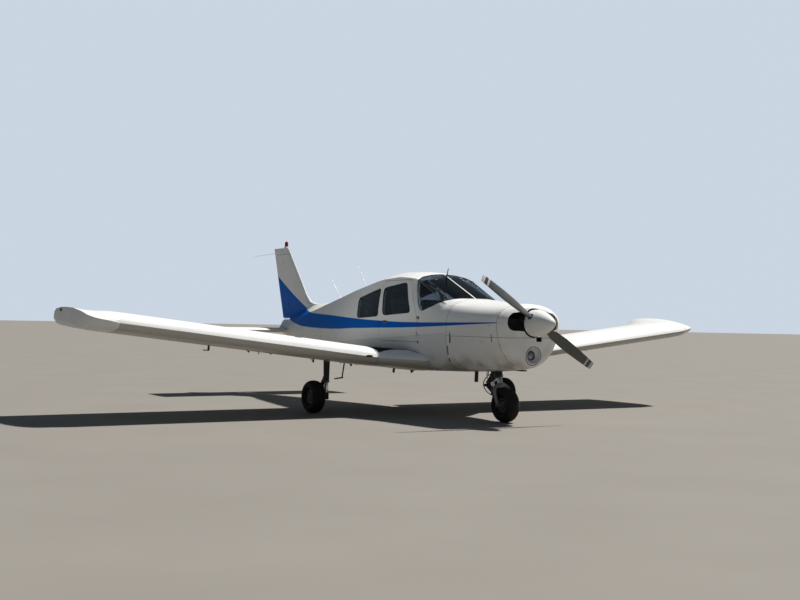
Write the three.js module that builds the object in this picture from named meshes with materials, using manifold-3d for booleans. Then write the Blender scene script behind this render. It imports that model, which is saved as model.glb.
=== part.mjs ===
// Light aircraft: a low-wing, single-engine, four-seat trainer on a fixed tricycle gear.
// Millimetres. X to the aircraft's left, nose toward -Y, Z up, ground at Z = 0.
// Stations along the fuselage are written from the datum at the front of the cowl,
// and the whole aircraft is moved by SHIFT_Y when the meshes are made.
import * as THREE from "three";
import { mergeVertices } from "three/addons/utils/BufferGeometryUtils.js";
import Module from "manifold-3d";

const wasm = await Module();
wasm.setup();

// Overall sizes
const SHIFT_Y = -3421;
const GAP = 0.3;
const MOVING_GAP = 6;
const RAD = Math.PI / 180;

// Fuselage stations and walls
const BOWL_BACK = 395;
const FIREWALL = 1270;
const FIREWALL_THICK = 20;
const CABIN_BACK = 3900;
const COWL_SPLIT_Z = 1010;
const SILL_Z = 920;
const FLOOR_Z = 700;
const WALL = 40;
const COWL_WALL = 15;
const TAIL_WALL = 18;
const TAIL_SOLID_Y = 6120;
const BULKHEAD_THICK = 30;
const GLASS_OUTER = 2;
const GLASS_INNER = 8;
const POST_HALF = 14;
const RING_POINTS = 16;
const FAR = 3000;

// Wings
const DIHEDRAL = 6.65 * RAD;
const WING_LEAD = 2010;
const WING_TRAIL = 3610;
const WING_Z = 605;
const WASH = 56;
const WING_THICK = 240;
const GLOVE_LEAD = 1650;
const BEND_START = 4150;
const TIP_START = 4300;
const TIP_LEAD = 2060;
const FLAP_IN = 600;
const FLAP_OUT = 2585;
const AILERON_OUT = 4250;
const CONTROL_HINGE = 3355;
const AIRFOIL_STEPS = 12;

// Tail
const TAIL_Z = 990;
const STAB_SEMI = 1525;
const STAB_LEAD = 6030;
const STAB_TRAIL = 6792;
const STAB_PIVOT = 6230;
const STAB_THICK = 76;
const TAB_HINGE = 6690;
const TAB_SEMI = 1180;
const RUDDER_CHORD = 285;
const RUDDER_BOTTOM = 1172;
const FIN_TOP = 2290;
const FIN_TRAIL_Y = 6585;
const FIN_TRAIL_Z = 1201;
const FIN_SLOPE = 0.3275;

// Propeller
const PROP_Y = 190;
const PROP_Z = 1180;
const PROP_RADIUS = 950;
const PROP_ANGLE = 31.5 * RAD;
const SPINNER_RADIUS = 155;
const SPINNER_TIP = -100;
const SPINNER_BACK = 260;

// Landing gear
const TYRE_RADIUS = 205;
const TYRE_WIDTH = 168;
const BEAD_RADIUS = 84;
const HALF_TRACK = 1500;
const MAIN_Y = 2770;
const MAIN_LEG_X = 1318;
const NOSE_Y = 787;
const NOSE_RAKE = 22 * RAD;
const AXLE_RADIUS = 18;

// Colours and finishes
const LOOKS = {
  paint: { color: 0xe9e9e4, roughness: 0.35, metalness: 0.0 },
  blue: { color: 0x2b4a86, roughness: 0.35, metalness: 0.0 },
  rubber: { color: 0x1b1b1c, roughness: 0.85, metalness: 0.0 },
  leg: { color: 0x6f7276, roughness: 0.45, metalness: 0.6 },
  rim: { color: 0xc9cacb, roughness: 0.45, metalness: 0.3 },
  blade: { color: 0x4a4d52, roughness: 0.5, metalness: 0.3 },
  glass: { color: 0xa9bcc4, roughness: 0.05, metalness: 0.0, transparent: true, opacity: 0.35 },
  dark: { color: 0x2a2b2d, roughness: 0.7, metalness: 0.1 },
  seat: { color: 0x4b4f57, roughness: 0.9, metalness: 0.0 },
  red: { color: 0x9c1f1a, roughness: 0.3, metalness: 0.0 },
  engine: { color: 0x77797b, roughness: 0.6, metalness: 0.5 },
};

const group = new THREE.Group();
group.name = "light_aircraft";

// Solids: every shape is a closed mesh held by the joining and cutting library

function solidFrom(positions, triangles) {
  const geometry = new THREE.BufferGeometry();
  geometry.setAttribute("position", new THREE.Float32BufferAttribute(positions, 3));
  geometry.setIndex(triangles);
  return solidOf(geometry);
}

function solidOf(geometry) {
  const bare = geometry.clone();
  for (const key of Object.keys(bare.attributes)) {
    if (key !== "position") {
      bare.deleteAttribute(key);
    }
  }
  const welded = mergeVertices(bare, 1e-3);
  const points = welded.attributes.position.array;
  const index = Array.from(welded.index.array);
  let kept = [];
  let volume = 0;
  for (let i = 0; i < index.length; i += 3) {
    const [a, b, c] = index.slice(i, i + 3);
    if (a !== b && b !== c && c !== a) {
      kept.push(a, b, c);
      volume += signedVolume(points, a, b, c);
    }
  }
  if (volume < 0) {
    kept = kept.reverse();
  }
  const mesh = new wasm.Mesh({
    numProp: 3,
    vertProperties: Float32Array.from(points),
    triVerts: Uint32Array.from(kept),
  });
  return new wasm.Manifold(mesh);
}

function signedVolume(points, a, b, c) {
  const p = new THREE.Vector3().fromArray(points, a * 3);
  const q = new THREE.Vector3().fromArray(points, b * 3);
  const r = new THREE.Vector3().fromArray(points, c * 3);
  return p.dot(q.cross(r)) / 6;
}

// Joins rings with equal numbers of points into a closed solid with flat ends
function loft(rings) {
  const count = rings[0].length;
  const positions = rings.flat().flatMap((p) => [p[0], p[1], p[2]]);
  const triangles = [];
  for (let ring = 0; ring + 1 < rings.length; ring += 1) {
    for (let i = 0; i < count; i += 1) {
      const a = ring * count + i;
      const b = ring * count + ((i + 1) % count);
      triangles.push(a, b, b + count, a, b + count, a + count);
    }
  }
  const last = (rings.length - 1) * count;
  for (const [a, b, c] of capTriangles(rings[0])) {
    triangles.push(c, b, a);
  }
  for (const [a, b, c] of capTriangles(rings[rings.length - 1])) {
    triangles.push(last + a, last + b, last + c);
  }
  return solidFrom(positions, triangles);
}

// Triangles over a flat ring, wound in the ring's own sense
function capTriangles(ring) {
  const flat = flatten(ring);
  const triangles = THREE.ShapeUtils.triangulateShape(flat, []);
  const areas = triangles.map(([a, b, c]) => THREE.ShapeUtils.area([flat[a], flat[b], flat[c]]));
  const total = areas.reduce((a, b) => a + b);
  const sameSense = total * THREE.ShapeUtils.area(flat) > 0;
  return triangles.map(([a, b, c]) => (sameSense ? [a, b, c] : [a, c, b]));
}

// Drops the axis along which the ring faces most
function flatten(ring) {
  const normal = new THREE.Vector3();
  for (let i = 0; i < ring.length; i += 1) {
    const p = new THREE.Vector3(...ring[i]);
    const q = new THREE.Vector3(...ring[(i + 1) % ring.length]);
    normal.add(p.cross(q));
  }
  const size = [Math.abs(normal.x), Math.abs(normal.y), Math.abs(normal.z)];
  const drop = size.indexOf(Math.max(...size));
  const keep = [0, 1, 2].filter((axis) => axis !== drop);
  return ring.map((p) => new THREE.Vector2(p[keep[0]], p[keep[1]]));
}

function box(x0, x1, y0, y1, z0, z1) {
  const ring = (z) => [[x0, y0, z], [x1, y0, z], [x1, y1, z], [x0, y1, z]];
  return loft([ring(z0), ring(z1)]);
}

// Side-view outline of [y, z] points carried across from x0 to x1
function acrossX(outline, x0, x1) {
  const ring = (x) => outline.map(([y, z]) => [x, y, z]);
  return loft([ring(x0), ring(x1)]);
}

// Front-view outline of [x, z] points carried along from y0 to y1
function alongY(outline, y0, y1) {
  const ring = (y) => outline.map(([x, z]) => [x, y, z]);
  return loft([ring(y0), ring(y1)]);
}

// Plan outline of [x, y] points carried up from z0 to z1
function upZ(outline, z0, z1) {
  const ring = (z) => outline.map(([x, y]) => [x, y, z]);
  return loft([ring(z0), ring(z1)]);
}

// Block about a centre, with half sizes along three square directions
function block(centre, directions, halves) {
  const [u, v, w] = directions.map((d) => new THREE.Vector3(...d).normalize());
  const corner = (a, b, c) => {
    const p = new THREE.Vector3(...centre).addScaledVector(u, a * halves[0]);
    return p.addScaledVector(v, b * halves[1]).addScaledVector(w, c * halves[2]).toArray();
  };
  const ring = (c) => [corner(-1, -1, c), corner(1, -1, c), corner(1, 1, c), corner(-1, 1, c)];
  return loft([ring(-1), ring(1)]);
}

// Hinge lugs: arms that reach from the fixed part back to the hinge line, each with a pin,
// and the slots that they need in the nose of the moving part
const LUG_HALF = 5;
const LUG_RADIUS = 13;
const LUG_PIN = 5;
const LUG_SLOT_HALF = 12;
const LUG_ROOM = 20;

function hingeLugs(points, along, forward, reach) {
  const out = new THREE.Vector3(...along).cross(new THREE.Vector3(...forward)).toArray();
  const shift = (point, direction, distance) => {
    const unit = new THREE.Vector3(...direction).normalize();
    return new THREE.Vector3(...point).addScaledVector(unit, distance).toArray();
  };
  const pieces = points.map((point) => {
    const pinEnd = LUG_SLOT_HALF - GAP;
    const across = (half, radius, sides) => {
      return rod(shift(point, along, -half), shift(point, along, half), radius, radius, sides);
    };
    const disc = across(LUG_HALF, LUG_RADIUS, 12);
    const pin = across(pinEnd, LUG_PIN, 8);
    const arm = block(shift(point, forward, reach / 2), [along, forward, out], [LUG_HALF, reach / 2, 9]);
    const slotHalf = (reach + 40 + LUG_ROOM) / 2;
    const slotCentre = shift(point, forward, slotHalf - LUG_ROOM);
    return {
      lug: disc.add(pin).add(arm),
      slot: block(slotCentre, [along, forward, out], [LUG_SLOT_HALF, slotHalf, 120]),
    };
  });
  return {
    lugs: pieces.map((piece) => piece.lug).reduce((a, b) => a.add(b)),
    slots: pieces.map((piece) => piece.slot).reduce((a, b) => a.add(b)),
  };
}

// Round bar or cone from one point to another
function rod(from, to, radius, endRadius = radius, sides = 20) {
  const start = new THREE.Vector3(...from);
  const axis = new THREE.Vector3(...to).sub(start);
  const [u, v] = crossAxes(axis);
  const ring = (centre, r) => {
    return Array.from({ length: sides }, (_, i) => {
      const angle = (i / sides) * 2 * Math.PI;
      const p = centre.clone().addScaledVector(u, r * Math.cos(angle));
      return p.addScaledVector(v, r * Math.sin(angle)).toArray();
    });
  };
  return loft([ring(start, radius), ring(start.clone().add(axis), endRadius)]);
}

function crossAxes(axis) {
  const unit = axis.clone().normalize();
  const helper = Math.abs(unit.x) > 0.9 ? new THREE.Vector3(0, 0, 1) : new THREE.Vector3(1, 0, 0);
  const u = new THREE.Vector3().crossVectors(unit, helper).normalize();
  const v = new THREE.Vector3().crossVectors(unit, u);
  return [u, v];
}

// Turned body: [radius, distance] points about a line from a point in a direction
function turned(profile, from, direction, sides = 24) {
  const points = profile.map(([r, d]) => new THREE.Vector2(r, d));
  const geometry = new THREE.LatheGeometry(points, sides);
  const unit = new THREE.Vector3(...direction).normalize();
  const turn = new THREE.Quaternion().setFromUnitVectors(new THREE.Vector3(0, 1, 0), unit);
  geometry.applyQuaternion(turn);
  geometry.translate(...from);
  return solidOf(geometry);
}

// Round bar through points that lie in one plane, bent at each of them
function bentRod(points, planeNormal, radius, sides = 12) {
  const centres = points.map((point) => new THREE.Vector3(...point));
  const normal = new THREE.Vector3(...planeNormal).normalize();
  const directions = centres.slice(1).map((centre, i) => centre.clone().sub(centres[i]).normalize());
  return loft(centres.map((centre, i) => {
    const before = directions[Math.max(0, i - 1)];
    const after = directions[Math.min(i, directions.length - 1)];
    const across = before.clone().add(after).normalize().cross(normal);
    const stretch = 1 / Math.sqrt(0.5 * (1 + before.dot(after)));
    return Array.from({ length: sides }, (_, k) => {
      const angle = (k / sides) * 2 * Math.PI;
      const p = centre.clone().addScaledVector(across, radius * stretch * Math.cos(angle));
      return p.addScaledVector(normal, radius * Math.sin(angle)).toArray();
    });
  }));
}

// Outlines

// Moves every edge of a counter-clockwise or clockwise outline inward by a distance
function inset(outline, distance) {
  const shape = outline.map(([a, b]) => new THREE.Vector2(a, b));
  const sense = Math.sign(THREE.ShapeUtils.area(shape));
  return shape.map((point, i) => {
    const before = shape[(i + shape.length - 1) % shape.length];
    const after = shape[(i + 1) % shape.length];
    const first = point.clone().sub(before).normalize();
    const second = after.clone().sub(point).normalize();
    const cross = first.x * second.y - first.y * second.x;
    const sideA = new THREE.Vector2(-first.y, first.x).multiplyScalar(sense * distance);
    const sideB = new THREE.Vector2(-second.y, second.x).multiplyScalar(sense * distance);
    if (Math.abs(cross) < 1e-6) {
      return point.clone().add(sideA).toArray();
    }
    const between = sideB.clone().sub(sideA);
    const along = (between.x * second.y - between.y * second.x) / cross;
    return point.clone().add(sideA).addScaledVector(first, along).toArray();
  });
}

// Replaces each corner of an outline with a short curve
function rounded(outline, radius, steps = 3) {
  const result = [];
  outline.forEach((corner, i) => {
    const point = new THREE.Vector2(...corner);
    const before = new THREE.Vector2(...outline[(i + outline.length - 1) % outline.length]);
    const after = new THREE.Vector2(...outline[(i + 1) % outline.length]);
    const start = point.clone().add(before.sub(point).setLength(radius));
    const end = point.clone().add(after.sub(point).setLength(radius));
    const curve = new THREE.QuadraticBezierCurve(start, point, end);
    curve.getPoints(steps).forEach((p) => result.push(p.toArray()));
  });
  return result;
}

function mirrored(outline) {
  return outline.map(([x, z]) => [-x, z]);
}

// Height at a place in a table of [place, height] points
function alongTable(table, place) {
  const next = table.findIndex(([y], i) => i > 0 && (y >= place || i === table.length - 1));
  const [[y0, z0], [y1, z1]] = [table[next - 1], table[next]];
  return z0 + ((place - y0) / (y1 - y0)) * (z1 - z0);
}

// Fuselage: one table of sections. Each has its half width, bottom, top, height of greatest width,
// the shoulder where the side turns into the roof, how round the two meet it, and the
// squareness of its lower half
const SECTIONS = [
  // y, half, bottom, top, middle, shoulder x, shoulder z, bend, lower
  [272, 300, 775, 1318, 1150, 216, 1271, 2.3, 1.9],
  [285, 362, 722, 1352, 1158, 260, 1297, 2.3, 1.9],
  [310, 408, 684, 1380, 1162, 293, 1319, 2.3, 1.9],
  [350, 434, 662, 1396, 1162, 317, 1333, 2.4, 2.0],
  [395, 447, 650, 1400, 1158, 331, 1337, 2.5, 2.1],
  [480, 460, 636, 1404, 1150, 349, 1343, 2.8, 2.3],
  [700, 487, 612, 1407, 1120, 380, 1344, 3.1, 2.8],
  [1000, 512, 592, 1428, 1100, 403, 1358, 3.2, 3.4],
  [1270, 532, 578, 1456, 1100, 419, 1380, 3.2, 4.0],
  [1410, 542, 572, 1463, 1100, 423, 1383, 3.1, 4.2],
  [2085, 560, 552, 1772, 1100, 430, 1708, 2.2, 4.6],
  [2230, 560, 551, 1800, 1100, 430, 1724, 2.0, 4.6],
  [2450, 560, 551, 1817, 1100, 430, 1738, 1.9, 4.6],
  [2850, 560, 556, 1821, 1100, 425, 1714, 1.8, 4.6],
  [3050, 556, 562, 1799, 1100, 420, 1684, 1.7, 4.4],
  [3300, 550, 570, 1742, 1100, 410, 1637, 1.5, 4.2],
  [3650, 530, 588, 1668, 1100, 393, 1574, 1.5, 3.8],
  [4000, 498, 612, 1584, 1098, 373, 1499, 1.5, 3.4],
  [4400, 448, 652, 1500, 1092, 346, 1418, 1.4, 3.0],
  [4800, 392, 698, 1444, 1082, 312, 1340, 1.3, 2.8],
  [5100, 348, 734, 1424, 1074, 286, 1284, 1.2, 2.6],
  [5500, 286, 784, 1404, 1064, 233, 1200, 1.2, 2.5],
  [6000, 206, 850, 1290, 1050, 165, 1102, 1.2, 2.4],
  [6400, 128, 912, 1190, 1034, 100, 1066, 1.5, 2.3],
  [6560, 80, 945, 1150, 1024, 60, 1050, 1.6, 2.2],
  [6645, 45, 975, 1040, 1008, 33, 1024, 1.8, 2.2],
];
const SIDE_STEPS = [0.12, 0.36, 0.6, 0.82, 1];
const ROOF_STEPS = [0.75, 0.45, 0.15];
const SHOULDER_INSET = 0.8;

function sectionRing([y, half, bottom, top, middle, shoulderX, shoulderZ, bend, lower], inward) {
  const [sx, sz] = [shoulderX - SHOULDER_INSET * inward, shoulderZ - SHOULDER_INSET * inward];
  const [wide, crown] = [half - inward, top - inward];
  const side = SIDE_STEPS.map((t) => [wide - (wide - sx) * t ** bend, middle + (sz - middle) * t]);
  const roof = ROOF_STEPS.map((t) => [sx * t, crown - (crown - sz) * t ** bend]);
  const leftHalf = side.concat(roof);
  const upper = leftHalf.concat(mirrored(leftHalf).reverse());
  const under = Array.from({ length: RING_POINTS }, (_, i) => {
    const angle = ((i + 0.5) / RING_POINTS) * Math.PI;
    const c = -Math.cos(angle);
    const x = Math.sign(c) * Math.abs(c) ** (2 / lower) * (half - inward);
    return [x, middle - Math.sin(angle) ** (2 / lower) * (middle - bottom - inward)];
  });
  return upper.concat(under).map(([x, z]) => [x, y, z]);
}

function hull(inward) {
  return loft(SECTIONS.map((section) => sectionRing(section, inward)));
}

const outerHull = hull(0);
const hullClearance = hull(-GAP);
const innerHull = hull(WALL);
const cabinWall = outerHull.subtract(innerHull);

// Part of the fuselage between two stations
function slice(solid, y0, y1) {
  return solid.intersect(box(-FAR, FAR, y0 + GAP / 2, y1 - GAP / 2, 0, FAR));
}

// Nose bowl, cowling and engine: the two intakes join round the spinner
const INTAKE = rounded([
  [110, 1085], [110, 1302], [190, 1308], [300, 1292], [358, 1238], [374, 1172], [352, 1112], [300, 1090],
], 20, 2);
const AIR_SLOT = rounded([[36, 966], [36, 1020], [122, 1020], [122, 966]], 14);
const RING_OPENING = SPINNER_RADIUS + 15;
const LAMP_Z = 803;
const LAMP_RADIUS = 100;

function noseBowl() {
  const hollow = hull(COWL_WALL).translate([0, COWL_WALL, 0]);
  let bowl = slice(outerHull, 0, BOWL_BACK).subtract(hollow);
  for (const outline of [INTAKE, mirrored(INTAKE), AIR_SLOT]) {
    bowl = bowl.subtract(alongY(outline, 0, BOWL_BACK));
  }
  bowl = bowl.subtract(rod([0, 0, PROP_Z], [0, BOWL_BACK, PROP_Z], RING_OPENING, RING_OPENING, 32));
  return bowl.subtract(rod([0, 0, LAMP_Z], [0, BOWL_BACK, LAMP_Z], LAMP_RADIUS, LAMP_RADIUS, 32));
}

// Landing light: a dished ring with a lens at its bottom, its rim trimmed to the bowl
function landingLight() {
  const outer = LAMP_RADIUS - GAP;
  const dish = [
    [outer, 230], [outer, 342], [70, 352], [0, 352], [0, 322],
    [40, 326], [62, 336], [90, 306], [95, 230], [outer, 230],
  ];
  return turned(dish, [0, 0, LAMP_Z], [0, 1, 0], 32).intersect(hull(2));
}

function cowling() {
  return slice(outerHull.subtract(hull(COWL_WALL)), BOWL_BACK, FIREWALL);
}

const cowl = cowling();
// Engine: one plain block, carried from the firewall by four mount tubes
function engineBlock() {
  let body = box(-320, 320, SHAFT_END, 1120, 870, 1230);
  for (const [x, z] of [[-220, 920], [220, 920], [-220, 1180], [220, 1180]]) {
    body = body.add(rod([x, 1100, z], [x, FIREWALL - GAP / 2, z], 14, 14, 10));
  }
  return body;
}

const EXHAUST_X = -118;
const COWL_OUTLET = box(-150, 110, 1100, FIREWALL, 500, 650);

// Exhaust: from the engine down through the cowl outlet
function exhaustPipe() {
  const bends = [[1060, 870 - GAP], [1060, 800], [1090, 740], [1180, 650], [1205, 600], [1212, 458]];
  return bentRod(bends.map(([y, z]) => [EXHAUST_X, y, z]), [1, 0, 0], 23, 14);
}

// Boarding step under the right side, behind the wing
function boardingStep() {
  const mast = rod([-445, 3788, 770], [-500, 3800, 378], 11, 9, 10);
  const toe = acrossX([[3788, 372], [3788, 390], [3990, 362], [3990, 346]], -514, -486);
  return mast.add(toe).subtract(hullClearance);
}

// Cabin outlines in side view, [y, z]
const ROOF_SEAM = [[FIREWALL, 1700], [2600, 1700], [2850, 1684], [3300, 1612], [CABIN_BACK, 1496]];
const roofLine = (y) => alongTable(ROOF_SEAM, y);
const DOOR_FRONT = 1880;
const DOOR_TOP_FRONT = 2180;
const DOOR_KNEE_Z = 1228;
const WINDSCREEN = [
  [1360, 1470], [1440, 1460], [1530, 1407], [1653, 1350], [1800, 1301], [1850, 1312], [1900, 1368],
  [2040, 1630], [2056, 1696], [2098, 1745], [2112, 1780], [2112, 1950], [1300, 1950],
];
const FRONT_WINDOW = rounded([[2037, 1283], [2694, 1243], [2786, 1597], [2258, 1664]], 60);
const REAR_WINDOW = rounded([[2808, 1232], [3365, 1203], [3440, 1470], [2862, 1597]], 48);
// Back edge of the door, from its top down
const DOOR_BACK = [[2790, roofLine(2790)], [2828, 1605], [2768, 1230], [2768, SILL_Z]];
const DOOR = [
  [DOOR_FRONT, SILL_Z],
  ...DOOR_BACK.slice().reverse(),
  [2600, roofLine(2600)],
  [DOOR_TOP_FRONT, roofLine(DOOR_TOP_FRONT)],
  [DOOR_FRONT, DOOR_KNEE_Z],
];

function pane(opening, x0, x1) {
  const skin = hull(GLASS_OUTER).subtract(hull(GLASS_INNER));
  return skin.intersect(acrossX(inset(opening, GAP), x0, x1));
}

function cabinFloor() {
  const room = innerHull.intersect(box(-FAR, FAR, FIREWALL + 20, CABIN_BACK + WALL, FLOOR_Z, FAR));
  const tub = slice(outerHull, FIREWALL + FIREWALL_THICK, CABIN_BACK).subtract(room);
  return tub.intersect(box(-FAR, FAR, 0, FAR * 2, 0, SILL_Z));
}

// The whole upper cabin, cut into its panels below
function upperCabin() {
  let cabin = slice(cabinWall, FIREWALL + FIREWALL_THICK, CABIN_BACK);
  cabin = cabin.subtract(acrossX(WINDSCREEN, POST_HALF, FAR));
  cabin = cabin.subtract(acrossX(WINDSCREEN, -FAR, -POST_HALF));
  cabin = cabin.subtract(acrossX(FRONT_WINDOW, -FAR, FAR));
  return cabin.subtract(acrossX(REAR_WINDOW, -FAR, FAR));
}

const cabin = upperCabin();
// Seam points behind a station, moved up by a distance
function seamFrom(y, up) {
  const points = ROOF_SEAM.filter(([place]) => place > y);
  return [[y, roofLine(y)], ...points].map(([place, z]) => [place, z + up]);
}

const frontRegion = [
  [FIREWALL, SILL_Z + GAP],
  [DOOR_FRONT, SILL_Z + GAP],
  [DOOR_FRONT, DOOR_KNEE_Z],
  [DOOR_TOP_FRONT, roofLine(DOOR_TOP_FRONT)],
  [FIREWALL, roofLine(FIREWALL)],
];
const leftRegion = [
  [CABIN_BACK, SILL_Z + GAP],
  [DOOR_FRONT + GAP, SILL_Z + GAP],
  [DOOR_FRONT + GAP, DOOR_KNEE_Z],
  ...seamFrom(DOOR_TOP_FRONT + GAP, 0),
];
const rightRegion = [
  [CABIN_BACK, SILL_Z + GAP],
  [DOOR_BACK[3][0], SILL_Z + GAP],
  ...DOOR_BACK.slice(0, 3).reverse(),
  ...seamFrom(DOOR_BACK[0][0], 0).slice(1),
];
const roofRegion = [...seamFrom(FIREWALL, GAP), [CABIN_BACK, 1950], [FIREWALL, 1950]];

// Door hinges outside the skin: a fixed knuckle under a moving one
const DOOR_AXIS_X = -562.5;
const DOOR_AXIS_Y = 1882.5;
const KNUCKLE_RADIUS = 7;
const KNUCKLE_TALL = 26;
const DOOR_HINGES = [985, 1177];

const LEAF_LENGTH = 34;
const LEAF_INNER_X = -540;

function knuckles(low, toward) {
  const leafBox = (x1, from, z0) => {
    const ends = [DOOR_AXIS_Y + toward * from, DOOR_AXIS_Y + toward * LEAF_LENGTH];
    return box(DOOR_AXIS_X - 3, x1, Math.min(...ends), Math.max(...ends), z0, z0 + KNUCKLE_TALL);
  };
  return DOOR_HINGES.map((z) => {
    const z0 = z + low;
    const ends = [z0, z0 + KNUCKLE_TALL].map((height) => [DOOR_AXIS_X, DOOR_AXIS_Y, height]);
    const barrel = rod(ends[0], ends[1], KNUCKLE_RADIUS, KNUCKLE_RADIUS, 12);
    const leaf = leafBox(LEAF_INNER_X, 3.5, z0);
    const neck = leafBox(DOOR_AXIS_X + 4, 0, z0);
    return barrel.add(leaf).add(neck);
  }).reduce((a, b) => a.add(b));
}

function doorLeaf() {
  return cabin.intersect(acrossX(inset(DOOR, 5), -FAR, 0)).add(knuckles(KNUCKLE_TALL + GAP, 1));
}

// Panel and glare shield across the cabin
const PANEL = [
  [1470, 1372], [1740, 1418], [1740, 1398], [1712, 1392],
  [1712, 1000], [1672, 1000], [1672, 1366], [1470, 1350],
];

function instrumentPanel() {
  return hull(WALL + GAP).intersect(acrossX(PANEL, -FAR, FAR));
}

function controlYoke(x) {
  const z = 1150;
  const column = rod([x, 1712.3, z], [x, 1880, z], 12, 12, 12);
  const bar = rod([x - 110, 1880, z], [x + 110, 1880, z], 11, 11, 10);
  const gripLeft = rod([x - 110, 1880, z - 12], [x - 125, 1862, z + 115], 13, 13, 10);
  const gripRight = rod([x + 110, 1880, z - 12], [x + 125, 1862, z + 115], 13, 13, 10);
  return column.add(bar).add(gripLeft).add(gripRight);
}

// Seats: an outline from the side, carried across
const SEAT_X = 240;
const SEAT_HALF = 185;
const REAR_SEAT_HALF = 415;
const FRONT_SEAT = rounded(
  [[2160, FLOOR_Z + GAP], [2130, 975], [2560, 945], [2680, 1480], [2770, 1470], [2660, FLOOR_Z + GAP]], 35);
const REAR_SEAT = rounded(
  [[2960, FLOOR_Z + GAP], [2960, 975], [3330, 955], [3440, 1430], [3530, 1420], [3440, FLOOR_Z + GAP]], 35);

// Wall behind the baggage space
function bulkhead() {
  const plate = box(-FAR, FAR, CABIN_BACK - BULKHEAD_THICK, CABIN_BACK - 1, FLOOR_Z + GAP, FAR);
  return hull(WALL + GAP).intersect(plate);
}

// Tail cone: a hollow skin with the slots that its surfaces pass through
function tailCone() {
  const hollow = hull(TAIL_WALL).intersect(box(-FAR, FAR, CABIN_BACK - WALL, TAIL_SOLID_Y, 0, FAR));
  let cone = slice(outerHull, CABIN_BACK, FAR * 3).subtract(hollow);
  const cove = rudderHinge(RUDDER_BOTTOM).y - 60;
  cone = cone.subtract(box(-FAR, FAR, cove, FAR * 3, RUDDER_BOTTOM - 14, FAR));
  const bearing = STAB_TUBE / Math.cos(Math.PI / 20) + GAP;
  return cone.subtract(rod([-400, STAB_PIVOT, TAIL_Z], [400, STAB_PIVOT, TAIL_Z], bearing));
}

// Wing sections, in a flat frame that is then turned by the dihedral.
// A section runs from its lead to its trail with a thickness, cambered, blunt at the back.
function halfThickness(fraction) {
  const t = fraction;
  const curve = 0.2969 * Math.sqrt(t) - 0.126 * t - 0.3516 * t ** 2 + 0.2843 * t ** 3 - 0.1015 * t ** 4;
  return 5 * curve;
}

function camberLine(fraction, camber) {
  const peak = 0.4;
  const ratio = fraction < peak ? fraction / peak : (1 - fraction) / (1 - peak);
  return camber * (2 * ratio - ratio ** 2);
}

// Chord fractions, closer together toward the nose
const FRACTIONS = Array.from({ length: AIRFOIL_STEPS + 1 }, (_, i) => {
  return 1 - Math.cos((i / AIRFOIL_STEPS) * Math.PI * 0.5);
});

// [distance along the chord, height] from nose back over the top, then the bottom forward
function airfoil(lead, leadZ, trail, trailZ, thick, camber) {
  const chord = trail - lead;
  const at = (fraction, side) => {
    const line = leadZ + (trailZ - leadZ) * fraction + camberLine(fraction, camber) * chord;
    return [lead + chord * fraction, line + side * halfThickness(fraction) * thick];
  };
  const upper = FRACTIONS.map((fraction) => at(fraction, 1));
  const lower = FRACTIONS.slice(1).reverse().map((fraction) => at(fraction, -1));
  return upper.concat(lower);
}

const WING_CAMBER = 0.02;
const wingOutline = airfoil(WING_LEAD, WING_Z, WING_TRAIL, WING_Z - WASH, WING_THICK, WING_CAMBER);
const gloveOutline = airfoil(GLOVE_LEAD, WING_Z + 28, WING_TRAIL, WING_Z - WASH, WING_THICK, 0.014);
const tipOutline = airfoil(TIP_LEAD, WING_Z, WING_TRAIL, WING_Z - WASH, WING_THICK, WING_CAMBER);

// Turns a flat wing piece by the dihedral, on the side given by its sign
function raised(solid, side) {
  const angle = side * DIHEDRAL;
  return solid.translate([0, 0, -WING_Z]).rotate([0, -angle / RAD, 0]).translate([0, 0, WING_Z]);
}

const at = (outline, x) => outline.map(([y, z]) => [x, y, z]);
const GLOVE_ROOT = 560;
const GLOVE_END = 1000;

function wingBody(side) {
  return loft([
    at(gloveOutline, side * 300),
    at(gloveOutline, side * GLOVE_ROOT),
    at(wingOutline, side * GLOVE_END),
    at(wingOutline, side * BEND_START),
    at(tipOutline, side * TIP_START),
  ]);
}

// Height and half thickness of the wing section at the hinge of its controls
const hingeFraction = (CONTROL_HINGE - WING_LEAD) / (WING_TRAIL - WING_LEAD);
const hingeHalf = halfThickness(hingeFraction) * WING_THICK;
const hingeZ = WING_Z - WASH * hingeFraction
  + camberLine(hingeFraction, WING_CAMBER) * (WING_TRAIL - WING_LEAD);

// Hinge lugs of one control, at shares of its span
function controlLugs(side, inner, outer) {
  const points = [0.18, 0.82].map((share) => {
    return [side * (inner + share * (outer - inner)), CONTROL_HINGE, hingeZ];
  });
  return hingeLugs(points, [1, 0, 0], [0, -1, 0], hingeHalf + 20);
}

const CONTROLS = {
  flap: [FLAP_IN, FLAP_OUT - MOVING_GAP],
  aileron: [FLAP_OUT, AILERON_OUT],
};

function wing(side) {
  const inner = side * 100;
  const outer = side * (AILERON_OUT + MOVING_GAP);
  const bay = box(Math.min(inner, outer), Math.max(inner, outer), CONTROL_HINGE, FAR * 2, 0, FAR);
  const cove = rod([inner, CONTROL_HINGE, hingeZ], [outer, CONTROL_HINGE, hingeZ], hingeHalf + MOVING_GAP);
  let flat = wingBody(side).subtract(bay).subtract(cove);
  for (const span of Object.values(CONTROLS)) {
    flat = flat.add(controlLugs(side, ...span).lugs);
  }
  return raised(flat, side).subtract(hullClearance);
}

// Aileron or flap: the back of the wing section with a round nose on its hinge
function controlSurface(side, inner, outer) {
  const whole = loft([at(wingOutline, side * inner), at(wingOutline, side * outer)]);
  const back = whole.intersect(box(-FAR * 2, FAR * 2, CONTROL_HINGE, FAR * 2, 0, FAR));
  const nose = rod([side * inner, CONTROL_HINGE, hingeZ], [side * outer, CONTROL_HINGE, hingeZ], hingeHalf);
  return raised(back.add(nose).subtract(controlLugs(side, inner, outer).slots), side);
}

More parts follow.
